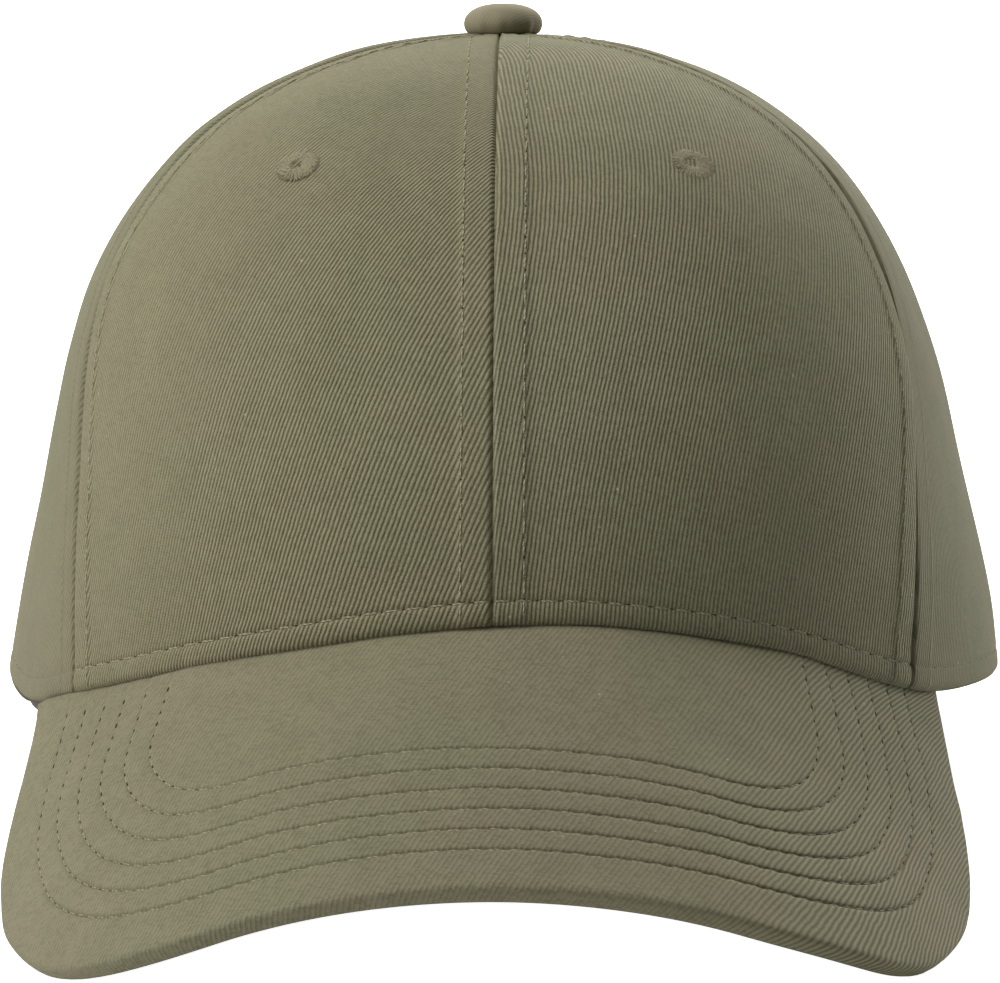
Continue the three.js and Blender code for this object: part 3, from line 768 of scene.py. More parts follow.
def makePanel(side, first, name):
    panelMap = panelMaps[side, first]
    hemRows, top = panel["hemRows"], panelMap.rows[-1]
    middles = int(round((panelMap.width.max() - 2 * panel["seamColumns"][-1]) / panel["middleStep"]))
    steps = int(round((top - hemRows[-1]) / panel["riseStep"]))
    rises = np.concatenate([hemRows, np.linspace(hemRows[-1], top, steps + 1)[1:]])
    across = np.stack([panelColumns(panelMap.widthAt(r), middles) for r in rises], 1)
    rise = np.broadcast_to(rises, across.shape)
    base, normal, relief, angle = clothForm(side, first, across, rise)
    # the hem is folded round: both faces curve to meet at its lowest line
    fold = panel["hemFold"]
    lowered = np.clip(fold - rise, 0, None)
    rounding = (fold - np.sqrt(np.clip(fold ** 2 - lowered ** 2, 0, None)))[..., None]
    outer = base + normal * (relief - rounding)
    inner = base - normal * (crown["wall"] - rounding * 0.5)
    for face, way in ((outer, -0.5), (inner, 0.5)):
        face[:, 0] = base[:, 0] - normal[:, 0] * (crown["wall"] / 2 + way * panel["hemGap"])
    # the inner edge rides up on the sloping peak
    rides = panel["ridesUp"]
    inner[..., 2] += rides["lift"] * np.exp(-rise / rides["over"]) * smoothStep(np.cos(angle), *rides["ahead"])
    weave = ribCoordinates(side * (across - panelMap.widthAt(rise) / 2), rise, **leans[side, first])
    weave[..., 0] += ribPlan["panelsApart"] * first + ribPlan["sidesApart"] * side
    hole = np.linalg.norm(base - crownPoint(*eyeletPlace(side, first)), axis=-1) < eyelet["clothHole"]
    # a cell goes where all its corners lie in the eyelet's hole, or any in the arch
    lost = np.logical_and.reduce(cellCorners(hole))
    if first == 2:
        lost |= np.logical_or.reduce(cellCorners(inArch(base)))
    parts = sheetBetween(outer, inner, weave, flip=side < 0, keep=~lost, innerShift=[0.4, 0.2])
    # the left front panel gets the twill with painted shade and highlights
    cloth = washedTwill if first else paintedShadeTwill if side > 0 else oliveTwill
    return makePiece(name, parts, [cloth], "twill", name.replace("_cloth", ""))


def cellCorners(points):
    return [points[:-1, :-1], points[1:, :-1], points[1:, 1:], points[:-1, 1:]]


for side, sideName in sideNames.items():
    for first, panelName in enumerate(panelNames):
        makePanel(side, first, f"{panelName}_panel_{sideName}_cloth")


# Sewing: every stitch is a short thread that dips into its needle holes at both ends. Lengths in millimetres;
# pierced says how large the needle holes are.
topStitch = {"pitch": 3.5, "length": 2.8, "thick": 0.34, "lift": 0.12, "pierced": 0.8}
hemStitch = {"pitch": 3.9, "length": 3.0, "thick": 0.36, "lift": 0.18, "pierced": 1.5}
flatStitch = {**hemStitch, "thick": 0.2, "lift": -0.08, "pierced": 0.5}    # on the side and back panels' hem
edgeStitch = {**topStitch, "thick": 0.3, "lift": 0.03, "pierced": 0.45}    # beside the front panels' side seams
peakStitch = {"pitch": 3.3, "length": 2.7, "thick": 0.3, "lift": 0.18, "pierced": 1.5}
sewing = {
    "steps": 7,            # points along a stitch
    "dip": 0.16,           # how far its ends go down
    "drawnDown": 0.19,     # how deep it lies where the thread is drawn into the cloth
    "outOfStep": 0.41,     # how much further each thread's ply lines start
    "ends": 0.55,          # how thin a stitch is at its ends
    "lineStep": 0.9,
    "fromHem": 1.2,
    "fromTop": 6,
    # how unevenly a hand guides the cloth: shares of the length, and millimetres
    "lengths": (0.94, 1.04),
    "along": 0.05,
    "aside": 0.035,
    "slant": (0.05, 0.03),
}
needleHole = {
    "across": 0.2,
    "deep": 0.10,
    "rim": 0.04,
    "proud": 0.08,
    "corners": 7,
    "along": 0.06,         # how far a hole strays along its line
    "sizes": (0.65, 1.25),
    "longer": 1.25,        # along the line than across it
    "drawnLonger": 1.5,    # and more so where the thread is drawn down
    "drawnSmaller": 0.36,
}


def tubes(paths, normals, radii, sides=6, flatten=0.8):
    # many closed tubes at once: paths (n, k, 3), normals (n, k, 3), radii (n, k)
    count, steps = paths.shape[:2]
    ahead = unit(np.gradient(paths, axis=1))
    sideways = unit(np.cross(ahead, normals))
    upward = unit(np.cross(sideways, ahead))
    turns = np.arange(sides) * fullTurn / sides
    ring = sideways[:, :, None] * np.cos(turns)[:, None] + upward[:, :, None] * np.sin(turns)[:, None] * flatten
    points = paths[:, :, None] + ring * radii[:, :, None, None]
    weave = np.empty((count, steps, sides, 2))
    weave[..., 0] = turns / fullTurn
    weave[..., 1] = (lengthsAlong(paths) + sewing["outOfStep"] * np.arange(count)[:, None])[..., None]
    i, j, k = np.meshgrid(np.arange(count), np.arange(steps - 1), np.arange(sides), indexing="ij")
    here = (i * steps + j) * sides
    after = (k + 1) % sides
    quads = np.stack([here + k, here + after, here + sides + after, here + sides + k], -1).reshape(-1, 4)
    fan = np.arange(1, sides - 1)
    start = np.arange(count)[:, None] * steps * sides + 0 * fan
    end = start + (steps - 1) * sides
    caps = [np.stack([start, start + fan + 1, start + fan], -1).reshape(-1, 3),
            np.stack([end, end + fan, end + fan + 1], -1).reshape(-1, 3)]
    return points.reshape(-1, 3), [quads, *caps], weave.reshape(-1, 2)


def pointsAt(at, length, values):
    return np.stack([np.interp(at, length, values[:, c]) for c in range(3)], -1)


def sewLine(threads, holes, line, normals, stitch, proud=1.0):
    # lays stitches along a line of surface points and adds them to the thread's mesh, with their holes;
    # where proud is less than 1 the thread is drawn down into the cloth
    length = lengthsAlong(line)
    proud = np.broadcast_to(proud, length.shape)
    count = max(1, int(round(length[-1] / stitch["pitch"])))
    pitch = length[-1] / count
    middles = (np.arange(count) + 0.5) * pitch
    reach = stitch["length"] * pitch / stitch["pitch"] * chance.uniform(*sewing["lengths"], count)
    share = np.linspace(-0.5, 0.5, sewing["steps"])
    at = middles[:, None] + share * reach[:, None] + chance.normal(0, sewing["along"], (count, 1))
    path, normal = pointsAt(at, length, line), unit(pointsAt(at, length, normals))
    arched = 1 - (2 * np.abs(share)) ** 4
    proudHere = np.interp(middles, length, proud)[:, None]
    lift = stitch["lift"] * proudHere - sewing["drawnDown"] * (1 - proudHere)
    height = arched * lift - (1 - arched) * sewing["dip"]
    sideways = unit(np.cross(np.gradient(path, axis=1), normal))
    aside = chance.normal(0, sewing["aside"], (count, 1))
    aside = aside + np.outer(chance.normal(*sewing["slant"], count), share * 2)
    path = path + normal * height[..., None] + sideways * aside[..., None]
    radii = stitch["thick"] / 2 * (sewing["ends"] + (1 - sewing["ends"]) * arched ** 0.5)
    threads.add(*tubes(path, normal, np.broadcast_to(radii, at.shape)))
    if holes is None:
        return
    ends = np.arange(1, count) * pitch
    at = ends + chance.normal(0, needleHole["along"], count - 1)
    ahead = unit(pointsAt(at + 0.3, length, line) - pointsAt(at - 0.3, length, line))
    drawn = 1 - np.interp(ends, length, proud)
    sizes = chance.uniform(*needleHole["sizes"], count - 1) * stitch["pierced"]
    sizes = sizes * (1 - needleHole["drawnSmaller"] * drawn)
    longer = needleHole["longer"] + needleHole["drawnLonger"] * drawn
    addHoles(holes, pointsAt(at, length, line), unit(pointsAt(at, length, normals)), ahead, sizes, longer)


def addHoles(holes, centre, up, ahead, sizes, longer):
    # a needle hole shows as a small dark lens pressed between the stitches: painted shade of the hole
    corners = needleHole["corners"]
    turns = (np.arange(corners) * fullTurn / corners)[:, None]
    flat = ahead[:, None] * np.cos(turns) * longer[:, None, None] + np.cross(up, ahead)[:, None] * np.sin(turns)
    ring = (centre + up * needleHole["rim"])[:, None] + needleHole["across"] * sizes[:, None, None] * flat
    top, bottom = centre + up * needleHole["proud"], centre - up * needleHole["deep"]
    points = np.concatenate([ring, top[:, None], bottom[:, None]], 1)
    base = np.arange(len(centre))[:, None] * (corners + 2)
    k = np.arange(corners)
    here, after, tops = base + k, base + (k + 1) % corners, base + corners + 0 * k
    faces = [np.stack([here, after, tops], -1), np.stack([after, here, tops + 1], -1)]
    holes.add(points, [np.concatenate(faces, 1).reshape(-1, 3)], np.zeros((points.shape[0] * (corners + 2), 2)))


print("sewing the crown")
crownThreads, crownHoles = MeshParts(), MeshParts()
for (side, first), panelMap in panelMaps.items():
    risen = np.arange(sewing["fromHem"], panelMap.rows[-1] - sewing["fromTop"], sewing["lineStep"])
    clear = arch["foot"] + arch["halfWidth"] + arch["clearOfStitches"] if first == 2 else 0
    for far, rise in ((False, risen), (True, risen[risen > clear])):
        if first == 1 and not far:
            continue    # the pressed allowance behind the front seam isn't topstitched
        width = panelMap.widthAt(rise)
        across = panel["stitchLine"] * narrowing(width)
        base, normal, relief, _ = clothForm(side, first, width - across if far else across, rise)
        stitch = edgeStitch if far and first == 0 else topStitch
        sewLine(crownThreads, crownHoles, base + normal * relief, normal, stitch)
    # the hem line runs right round, above the fold
    across = np.arange(0, float(panelMap.widthAt(panel["hemLine"])), sewing["lineStep"])
    base, normal, relief, _ = clothForm(side, first, across, panel["hemLine"])
    line = base + normal * relief
    if first == 2:
        away = np.abs(line[:, 0]) > arch["halfWidth"] + 3
        line, normal = line[away], normal[away]
    sewLine(crownThreads, crownHoles, line, normal, flatStitch if first else hemStitch)


print("making the rear opening")
binding = {
    "stitchAt": 3.7,
    "stitchHeight": 0.36,
    "bottom": 0.35,        # where its ends start, above the rim
    # its section round the cut edge: how far into the cloth, and how high above the crown's smooth form
    "section": [(5.0, 0.05), (4.75, 0.42), (4.2, 0.55), (3.7, 0.34), (3.2, 0.55), (1.6, 0.67),
                (0.3, 0.5), (-0.4, 0.1), (-0.65, -0.85), (-0.4, -1.7), (0.3, -1.97), (1.8, -2.05),
                (4.6, -2.05), (5.0, -1.8)],
    "bias": (0.72, 0.69),  # how its ribs share out its length and girth
}


def rearPlace(x, height):
    # angle and climb of the crown's rear at a distance across and a height
    angle = np.pi - x / crown["rings"][0]["back"]    # a first guess
    for _ in range(12):
        climb = climbAtHeight(angle, height)
        point = crownPoint(angle, climb)
        reach = np.hypot(point[..., 0], point[..., 1] - crown["topBack"] * smoothStep(climb))
        angle = np.pi - np.arcsin(np.clip(x / reach, -1, 1))
    return angle, climb


def archLine(side, offset, steps=70):
    # the arch's outline at an offset into the cloth, from its foot to the back seam
    reach = arch["halfWidth"] + offset
    foot = np.stack([np.full(8, reach), np.linspace(binding["bottom"], arch["foot"], 9)[:-1]], -1)
    turn = np.linspace(0, math.pi / 2, steps)
    bow = np.stack([reach * np.cos(turn), arch["foot"] + reach * np.sin(turn)], -1)
    places = np.concatenate([foot, bow])
    angle, climb = rearPlace(side * places[:, 0], places[:, 1])
    return crownPoint(angle, climb), crownNormal(angle, climb)


def makeBinding(side, name):
    # a strip of the same twill folded over the cut edge
    rows = []
    for offset, height in binding["section"] + binding["section"][:1]:
        line, normal = archLine(side, offset)
        rows.append(line + normal * height)
    points = np.stack(rows, 1)
    columns, count = points.shape[:2]
    length, girth = lengthsAlong(points[:, 4])[:, None], lengthsAlong(points[40])[None]
    straight, turned = binding["bias"]
    weave = np.stack([length * straight + girth * turned, girth * straight - length * turned], -1)
    flip = side > 0
    ends = []
    for column in (0, columns - 1):
        ring = column * count + np.arange(count - 1)
        order = ring if (column == 0) != flip else ring[::-1]
        ends.append(np.stack([np.full(count - 3, order[0]), order[1:-1], order[2:]], -1))
    parts = MeshParts().add(points, [gridFaces(columns, count, flip=flip), *ends], weave)
    makePiece(name, parts, [washedTwill], "twill")
    line, normal = archLine(side, binding["stitchAt"])
    sewLine(crownThreads, crownHoles, line + normal * binding["stitchHeight"], normal, topStitch)


for side, sideName in sideNames.items():
    makeBinding(side, f"rear_opening_binding_{sideName}")


print("embroidering eyelets")
eyeletLook = {
    "wraps": 112,
    "hole": 0.2,
    "reach": 4.15,
    "thick": 0.3,
    "ragged": 0.14,
    "steps": 12,
    "funnel": 1.25,        # how deep the stitches go down at the hole
    "funnelReach": 0.8,
    "crest": 0.2,
    "rimDrop": 0.34,
    "fall": 190,           # twice the crown's radius here, round which the ring bends
    # how unevenly it is worked: the stitches' places round, holes, heights, twists, thicknesses and waves
    "turn": 0.12,
    "inside": 0.06,
    "height": 0.025,
    "twist": 0.022,
    "thicker": (0.8, 1.2),
    "waves": (5, 14),
    "holeRight": -0.4,     # the hole is worked a little off the middle
    "holeUp": 0.35,
    # padding under the satin stitches: radius and height, from inside the hole out, under and back
    "padding": [(0.3, -2.2), (0.34, -1.1), (0.8, -0.45), (1.5, -0.02), (2.7, 0.08), (3.8, -0.12), (3.6, -0.5),
                (2.3, -0.6), (2.2, -1.8), (3.6, -1.9), (3.5, -2.3), (2.2, -2.6), (0.3, -2.2)],
    "paddingSides": 28,
    "cup": {"radius": 0.62, "rim": -0.26, "bottom": -0.95, "aside": 0.85},    # the shade down in the hole
}


def makeEyelet(side, first, name):
    angle, climb = eyeletPlace(side, first)
    centre, up = crownPoint(angle, climb), crownNormal(angle, climb)
    right = unit(np.cross([0, 0, 1.0], up))
    ahead = np.cross(up, right)
    aside = right * eyeletLook["holeRight"] + ahead * eyeletLook["holeUp"]
    # the ring sits on the face of the cloth, which waves a little
    centre = centre + up * clothWaves(centre[None], side, first, panel["bow"])[0]
    count = eyeletLook["wraps"]
    turns = (np.arange(count) + chance.normal(0, eyeletLook["turn"], count)) * fullTurn / count
    reach = eyeletLook["reach"] + chance.normal(0, eyeletLook["ragged"], count)
    hole = eyeletLook["hole"] + chance.normal(0, eyeletLook["inside"], count)
    share = np.linspace(0, 1, eyeletLook["steps"])
    radius = hole[:, None] + (reach - hole)[:, None] * share
    height = (eyeletLook["crest"] - eyeletLook["funnel"] * np.exp(-(radius / eyeletLook["funnelReach"]) ** 1.6)
              - eyeletLook["rimDrop"] * (radius / eyeletLook["reach"]) ** 6 - radius ** 2 / eyeletLook["fall"])
    waves = chance.uniform(0, 6.28, (count, 1)) + share * chance.uniform(*eyeletLook["waves"], (count, 1))
    height = height + chance.normal(0, eyeletLook["height"], (count, 1)) + eyeletLook["height"] * np.sin(waves)
    twist = (turns[:, None] + chance.normal(0, eyeletLook["twist"], (count, 1)) * share)[..., None]
    flat = np.cos(twist) * right + np.sin(twist) * ahead
    paths = centre + flat * radius[..., None] + up * height[..., None] + aside * (1 - share)[:, None]
    thick = eyeletLook["thick"] / 2 * np.interp(share, [0, 0.3, 0.8, 1], [0.6, 1, 0.95, 0.5])
    thick = thick * chance.uniform(*eyeletLook["thicker"], (count, 1))
    parts = MeshParts().add(*tubes(paths, np.broadcast_to(up, paths.shape), thick))
    profile, corners = np.array(eyeletLook["padding"]), eyeletLook["paddingSides"]
    around = (np.arange(corners) * fullTurn / corners)[:, None]
    spokes = np.cos(around) * right + np.sin(around) * ahead
    ring = centre + spokes[:, None] * profile[:, :1] + up * profile[:, 1:]
    ring = ring + aside * (1 - profile[:, :1] / profile[:, 0].max())
    weave = np.stack(np.broadcast_arrays(around * 3, np.arange(len(profile))[None] * 1.0), -1)
    parts.add(ring, [gridFaces(corners, len(profile), loop=True)], weave)
    cup = eyeletLook["cup"]
    cupPoints = np.concatenate([centre + spokes * cup["radius"] + up * cup["rim"] + aside * cup["aside"],
                                (centre + up * cup["bottom"] + aside)[None]])
    k = np.arange(corners)
    fan = np.stack([k, (k + 1) % corners, np.full(corners, corners)], -1)
    parts.add(cupPoints, [fan], np.zeros((corners + 1, 2)), slot=1)
    return makePiece(name, parts, [eyeletThread, holeShade], "thread", name.replace("_thread", ""))


for side, sideName in sideNames.items():
    for first, panelName in enumerate(panelNames):
        makeEyelet(side, first, f"{panelName}_eyelet_{sideName}_thread")


print("making the peak")
cover = {
    "tuck": 1.6,           # how far the covers reach in under the hem
    "threadTuck": 0.2,     # and the stitch rows
    "arcSteps": 44,
    "cornerSteps": 34,
    "sideSteps": 30,
    "lensRows": 15,
    "lastInset": 41.0,
    "frontInsets": [8.2, 6.6, 5.0, 3.4, 1.9],
    "besideRow": [-2.1, -1.1, -0.55, -0.35, -0.17, 0, 0.17, 0.35, 0.55, 1.1, 2.1],
    "wall": 1.4,
    "quilt": 0.12,         # how much the cloth puffs between stitch rows
    "rowSink": 0.52,
    "rowWidth": 0.3,
    "flatWings": {"share": 0.2, "ahead": (2, 46)},
    "hemDip": {"depth": 0.32, "ahead": (1.4, 4.5), "across": (40, 62)},
    "waves": [(45, {True: 31, False: 32}, 0.16), (12, {True: 33, False: 33}, 0.04)],    # size, seeds and height
    "underEnd": 2.15,      # where the under cover ends inside the turned edge
    "underTop": 2.0,
    # the upper cover's turned edge: inset, depth, inner inset
    "edge": [(1.9, 0.0, 2.4), (1.1, 0.04, 2.1), (0.6, 0.15, 1.9), (0.26, 0.4, 1.8), (0.08, 0.8, 1.7),
             (0.0, 1.4, 1.6), (0.0, 2.1, 1.6), (0.08, 2.8, 1.6), (0.4, 3.3, 1.6), (1.1, 3.6, 1.6)],
}
peakRowInsets = [peak["firstRow"] + peak["rowStep"] * k for k in range(peak["rows"])]


def wingEnd(inset, tuck):
    # where the crescent's side meets the rim
    angles = np.radians(np.arange(26, 75.01, 0.05))
    places = peakFlat(*rimPlan(angles, tuck))
    side = peak["halfWidth"] - inset / math.cos(peak["flare"]) + places[:, 1] * math.tan(peak["flare"])
    past = places[:, 0] >= side
    hit = int(np.argmax(past)) if past.any() else len(angles) - 1
    return np.array([side[hit], places[hit, 1]]), angles[hit]


def crescent(inset, tuck):
    # half the crescent at an inset, from the middle of the front edge round the corner to the rim
    arcCentre = peak["length"] - peak["frontRadius"]
    slant = math.tan(peak["flare"])
    start = peak["halfWidth"] - peak["cornerRadius"] / math.cos(peak["flare"])
    a = slant ** 2 + 1
    b = 2 * (start * slant - arcCentre)
    c = start ** 2 + arcCentre ** 2 - (peak["frontRadius"] - peak["cornerRadius"]) ** 2
    ahead = (-b + math.sqrt(b * b - 4 * a * c)) / (2 * a)
    corner = np.array([start + ahead * slant, ahead])
    meet = math.atan2(corner[0], corner[1] - arcCentre)
    front = np.linspace(0, meet, cover["arcSteps"] + 1)
    turn = np.linspace(meet, math.pi / 2 + peak["flare"], cover["cornerSteps"] + 1)[1:]
    outFront, outTurn = (np.stack([np.sin(way), np.cos(way)], -1) for way in (front, turn))
    arc = np.array([0, arcCentre]) + (peak["frontRadius"] - inset) * outFront
    bow = corner + (peak["cornerRadius"] - inset) * outTurn
    end, endAngle = wingEnd(inset, tuck)
    share = np.linspace(0, 1, cover["sideSteps"] + 1)[1:, None]
    line = bow[-1] + (end - bow[-1]) * share
    outSide = np.tile([math.cos(peak["flare"]), -math.sin(peak["flare"])], (len(share), 1))
    places = np.concatenate([arc, bow, line])
    pulled = peak["rowsPulledIn"] * min(inset / peak["firstRow"], 1)
    places[:, 0] -= pulled * (places[:, 0] / peak["halfWidth"]) ** 2
    return places, np.concatenate([outFront, outTurn, outSide]), endAngle


def wholeCrescent(inset, tuck=cover["tuck"]):
    # both halves, with their outward directions and the angle on the rim where they end
    *halves, endAngle = crescent(inset, tuck)
    return (*(np.concatenate([half[:0:-1] * [-1, 1], half]) for half in halves), endAngle)


def peakNormal(flat, step=0.05):
    ways = np.array([step, 0]), np.array([0, step])
    across, ahead = (peakSettled(flat + way) - peakSettled(flat - way) for way in ways)
    return unit(np.cross(ahead, across))


def rowsPuffed(flat):
    # the cloth is drawn flat over the wings and puffs up towards the front edge
    wings = cover["flatWings"]
    return wings["share"] + (1 - wings["share"]) * smoothStep(flat[..., 1], *wings["ahead"])


def peakRelief(inset, flat, upper=True):
    # the cloth puffs between stitch rows and sinks along them
    rows = (inset - peak["firstRow"]) / peak["rowStep"]
    within = smoothStep(rows, -0.7, 0.0) * (1 - smoothStep(rows, peak["rows"] - 1.0, peak["rows"] - 0.4))
    relief = cover["quilt"] * within * (0.5 - 0.5 * np.cos(fullTurn * rows))
    for at in peakRowInsets:
        relief = relief - cover["rowSink"] * hump(inset, cover["rowWidth"], at)
    place = np.concatenate([flat, 0 * flat[..., :1]], -1)
    return relief * rowsPuffed(flat) + sum(softWaves(place, size, seeds[upper], height)
                                           for size, seeds, height in cover["waves"])


# The peak's ribs lean to the right towards the crown, and turn further on the wing at the wearer's left.
peakRibs = {"lean": math.radians(23.6), "finer": 0.97, "wing": (40, 80), "outFrom": 50, "out": 0.0016,
            "aheadFrom": 8, "ahead": 0.0018, "behind": 0.007}


def peakWeave(flat):
    x, y = flat[..., 0], flat[..., 1]
    back = peakRibs["ahead"] * (y - peakRibs["aheadFrom"]) ** 2 + peakRibs["behind"] * np.clip(y, None, 0) ** 2
    turned = peakRibs["out"] * np.clip(x - peakRibs["outFrom"], 0, None) ** 2
    turned = turned - smoothStep(x, *peakRibs["wing"]) * back
    ribs = x * math.cos(peakRibs["lean"]) + y * math.sin(peakRibs["lean"]) + turned
    return np.stack([peakRibs["finer"] * ribs, ribPlan["pickLean"] * x - y], -1)


def coverGrid(lastRow):
    # flat places from the rear curve to the first edge line, with their insets; close at the stitch rows
    beside = [round(at + d, 3) for at in peakRowInsets for d in cover["besideRow"]]
    insets = {cover["lastInset"], *cover["frontInsets"], *beside}
    insets = sorted((inset for inset in insets if inset >= lastRow), reverse=True)
    outline, _, endAngle = wholeCrescent(insets[0])
    steps = lengthsAlong(outline)
    rear = peakFlat(*rimPlan(endAngle * (2 * steps / steps[-1] - 1), cover["tuck"]))
    shares = np.arange(cover["lensRows"]) / cover["lensRows"]
    lines = [rear + (outline - rear) * share for share in shares] + [wholeCrescent(i)[0] for i in insets]
    return np.stack(lines, 1), np.concatenate([insets[0] + 3 * (1 - shares), insets])


def makeTopCover(name):
    flat, insets = coverGrid(2.0)
    relief = peakRelief(insets[None], flat) * smoothStep(insets, 1.2, 3.5)
    # the cloth dips where it goes under the hem, which shades the joint
    dip = cover["hemDip"]
    fromRear = flat[..., 1] - flat[:, :1, 1]
    within = (1 - smoothStep(fromRear, *dip["ahead"])) * (1 - smoothStep(np.abs(flat[..., 0]), *dip["across"]))
    relief = relief - dip["depth"] * within
    outers, inners, weaves = [peakSettled(flat, -relief)], [peakSettled(flat, cover["wall"])], [peakWeave(flat)]
    startLine = wholeCrescent(cover["edge"][0][0])[0]
    turned = lengthsAlong(np.array(cover["edge"])[:, :2])    # cloth used so far in the turned edge
    depths = np.linspace(cover["wall"], peak["thickness"], len(cover["edge"]))
    for (inset, depth, innerInset), innerDepth, used in zip(cover["edge"], depths, turned):
        line, outward, _ = wholeCrescent(inset)
        outers.append(peakSettled(line, depth)[:, None])
        inners.append(peakSettled(wholeCrescent(innerInset)[0], innerDepth)[:, None])
        weaves.append(peakWeave(startLine + outward * used)[:, None])
    outer, inner, weave = (np.concatenate(grids, 1) for grids in (outers, inners, weaves))
    return makePiece(name, sheetBetween(outer, inner, weave), [smoothTwill], "twill", "peak_top_cover")


def makeUnderCover(name):
    flat, insets = coverGrid(2.1)
    flat = np.concatenate([flat, wholeCrescent(cover["underEnd"])[0][:, None]], 1)
    insets = np.append(insets, cover["underEnd"])
    relief = peakRelief(insets[None], flat, upper=False) * smoothStep(insets, 2.2, 4)
    lower, upper = peakSettled(flat, peak["thickness"] + relief), peakSettled(flat, cover["underTop"])
    parts = sheetBetween(lower, upper, peakWeave(flat * [-1, 1]), flip=True)
    return makePiece(name, parts, [smoothTwill], "twill", "peak_under_cover")


makeTopCover("peak_top_cover_cloth")
makeUnderCover("peak_under_cover_cloth")
peakThreads, peakHoles = MeshParts(), MeshParts()
for inset in peakRowInsets:
    flat = wholeCrescent(inset, cover["threadTuck"])[0]
    normal = peakNormal(flat)
    for upper in (True, False):
        relief = peakRelief(np.full(len(flat), inset), flat, upper)
        line = peakSettled(flat, -relief if upper else peak["thickness"] + relief)
        sewLine(peakThreads, peakHoles, line, normal if upper else -normal, peakStitch, rowsPuffed(flat))
for name, parts, material in (("crown_topstitching", crownThreads, oliveThread),
                              ("crown_needle_holes", crownHoles, holeShade),
                              ("peak_topstitching", peakThreads, oliveThread),
                              ("peak_needle_holes", peakHoles, holeShade)):
    makePiece(name, parts, [material], "thread")


print("covering the button")
button = {
    "sides": 72,
    # radius and height above the crown's top: over the dome, round the lip, and down the shank
    "profile": [(0, 5.9), (1.2, 5.88), (2.4, 5.78), (3.6, 5.56), (4.7, 5.2), (5.7, 4.68), (6.45, 4.0),
                (6.93, 3.15), (7.1, 2.3), (7.0, 1.55), (6.75, 0.9), (6.4, 0.4), (5.6, 0.05), (3.0, -0.1),
                (3.0, -2.0), (5.1, -2.1), (5.2, -2.5), (5.0, -2.9), (0, -2.9)],
    "folds": [(9, 0.4, 0.5), (14, 2.1, 0.35), (23, 1.2, 0.25)],    # how many, where they start and how large
    "gathered": {"from": (5.5, 9.5), "to": (11, 12), "depth": 0.16},    # along its profile
    "oval": 0.006,
    "wider": 1.03,
    "aside": 0.5,
    "lean": math.radians(38),
    "swirl": 0.015,
}


def makeButton(name):
    profile = np.array(button["profile"])
    turns = (np.arange(button["sides"]) * fullTurn / button["sides"])[:, None]
    reach, height = profile.T
    steps = lengthsAlong(profile)
    # gathered cloth: small folds that grow towards the underside
    folds = sum(np.cos(turns * count + phase) * size for count, phase, size in button["folds"])
    gathered = button["gathered"]
    depth = smoothStep(steps, *gathered["from"]) * (1 - smoothStep(steps, *gathered["to"])) * gathered["depth"]
    radius = reach * (1 + button["oval"] * np.cos(2 * turns + 0.6)) + folds * depth
    x, y = radius * np.sin(turns) * button["wider"] + button["aside"], crown["topBack"] - radius * np.cos(turns)
    points = np.stack([x, y, np.broadcast_to(height + crown["height"], x.shape)], -1)
    u, v = steps * np.sin(turns), steps * np.cos(turns)
    cosLean, sinLean = math.cos(button["lean"]), math.sin(button["lean"])
    weave = np.stack([u * cosLean + v * sinLean + button["swirl"] * steps ** 2, v * cosLean - u * sinLean], -1)
    parts = MeshParts().add(points, [gridFaces(button["sides"], len(profile), loop=True, flip=True)], weave)
    piece = makePiece(name, parts, [softTwill], "twill", "top_button")
    weld = piece.modifiers.new("weld", "WELD")
    weld.merge_threshold = 0.00001
    smooth = piece.modifiers.new("smooth", "SUBSURF")
    smooth.levels = smooth.render_levels = 1
    return piece


makeButton("top_button_cloth")


print("making the sweatband and strap")
# Strips inside the crown's wall. Degrees are round from the front; lowest is the lower edge above the hem,
# which the band passes at one place; rows are heights up the strip.
stripRows = [0.0, 0.08, 0.25, 0.6]
band = {"from": -148.5, "to": 148.5, "steps": 330, "depth": 2.3, "wall": 1.2,
        "lowestAt": [-75, -73, -71, -67.5, -63, -56, -48],
        "lowest": [0.8, 0.8, -0.5, -1.5, -1.9, -1.9, 0.8],
        "rows": stripRows + [1.5, 3, 6, 10, 14, 18, 22, 26, 28, 28.8, 29.4, 29.75, 29.92, 30.0]}
strap = {"from": 150, "to": 210, "steps": 90, "depth": 2.35, "wall": 1.5,
         "lowestAt": [180],
         "lowest": [0.65],
         "rows": stripRows + [1.4, 2.0, 2.6, 4, 7, 10.5, 14, 17, 18.4, 19.0, 19.6, 20.4, 20.75, 20.92, 21.0],
         "stitched": [4, 12],    # the rows with topstitching
         "lean": {"lean": 24, "finer": 1.15}}


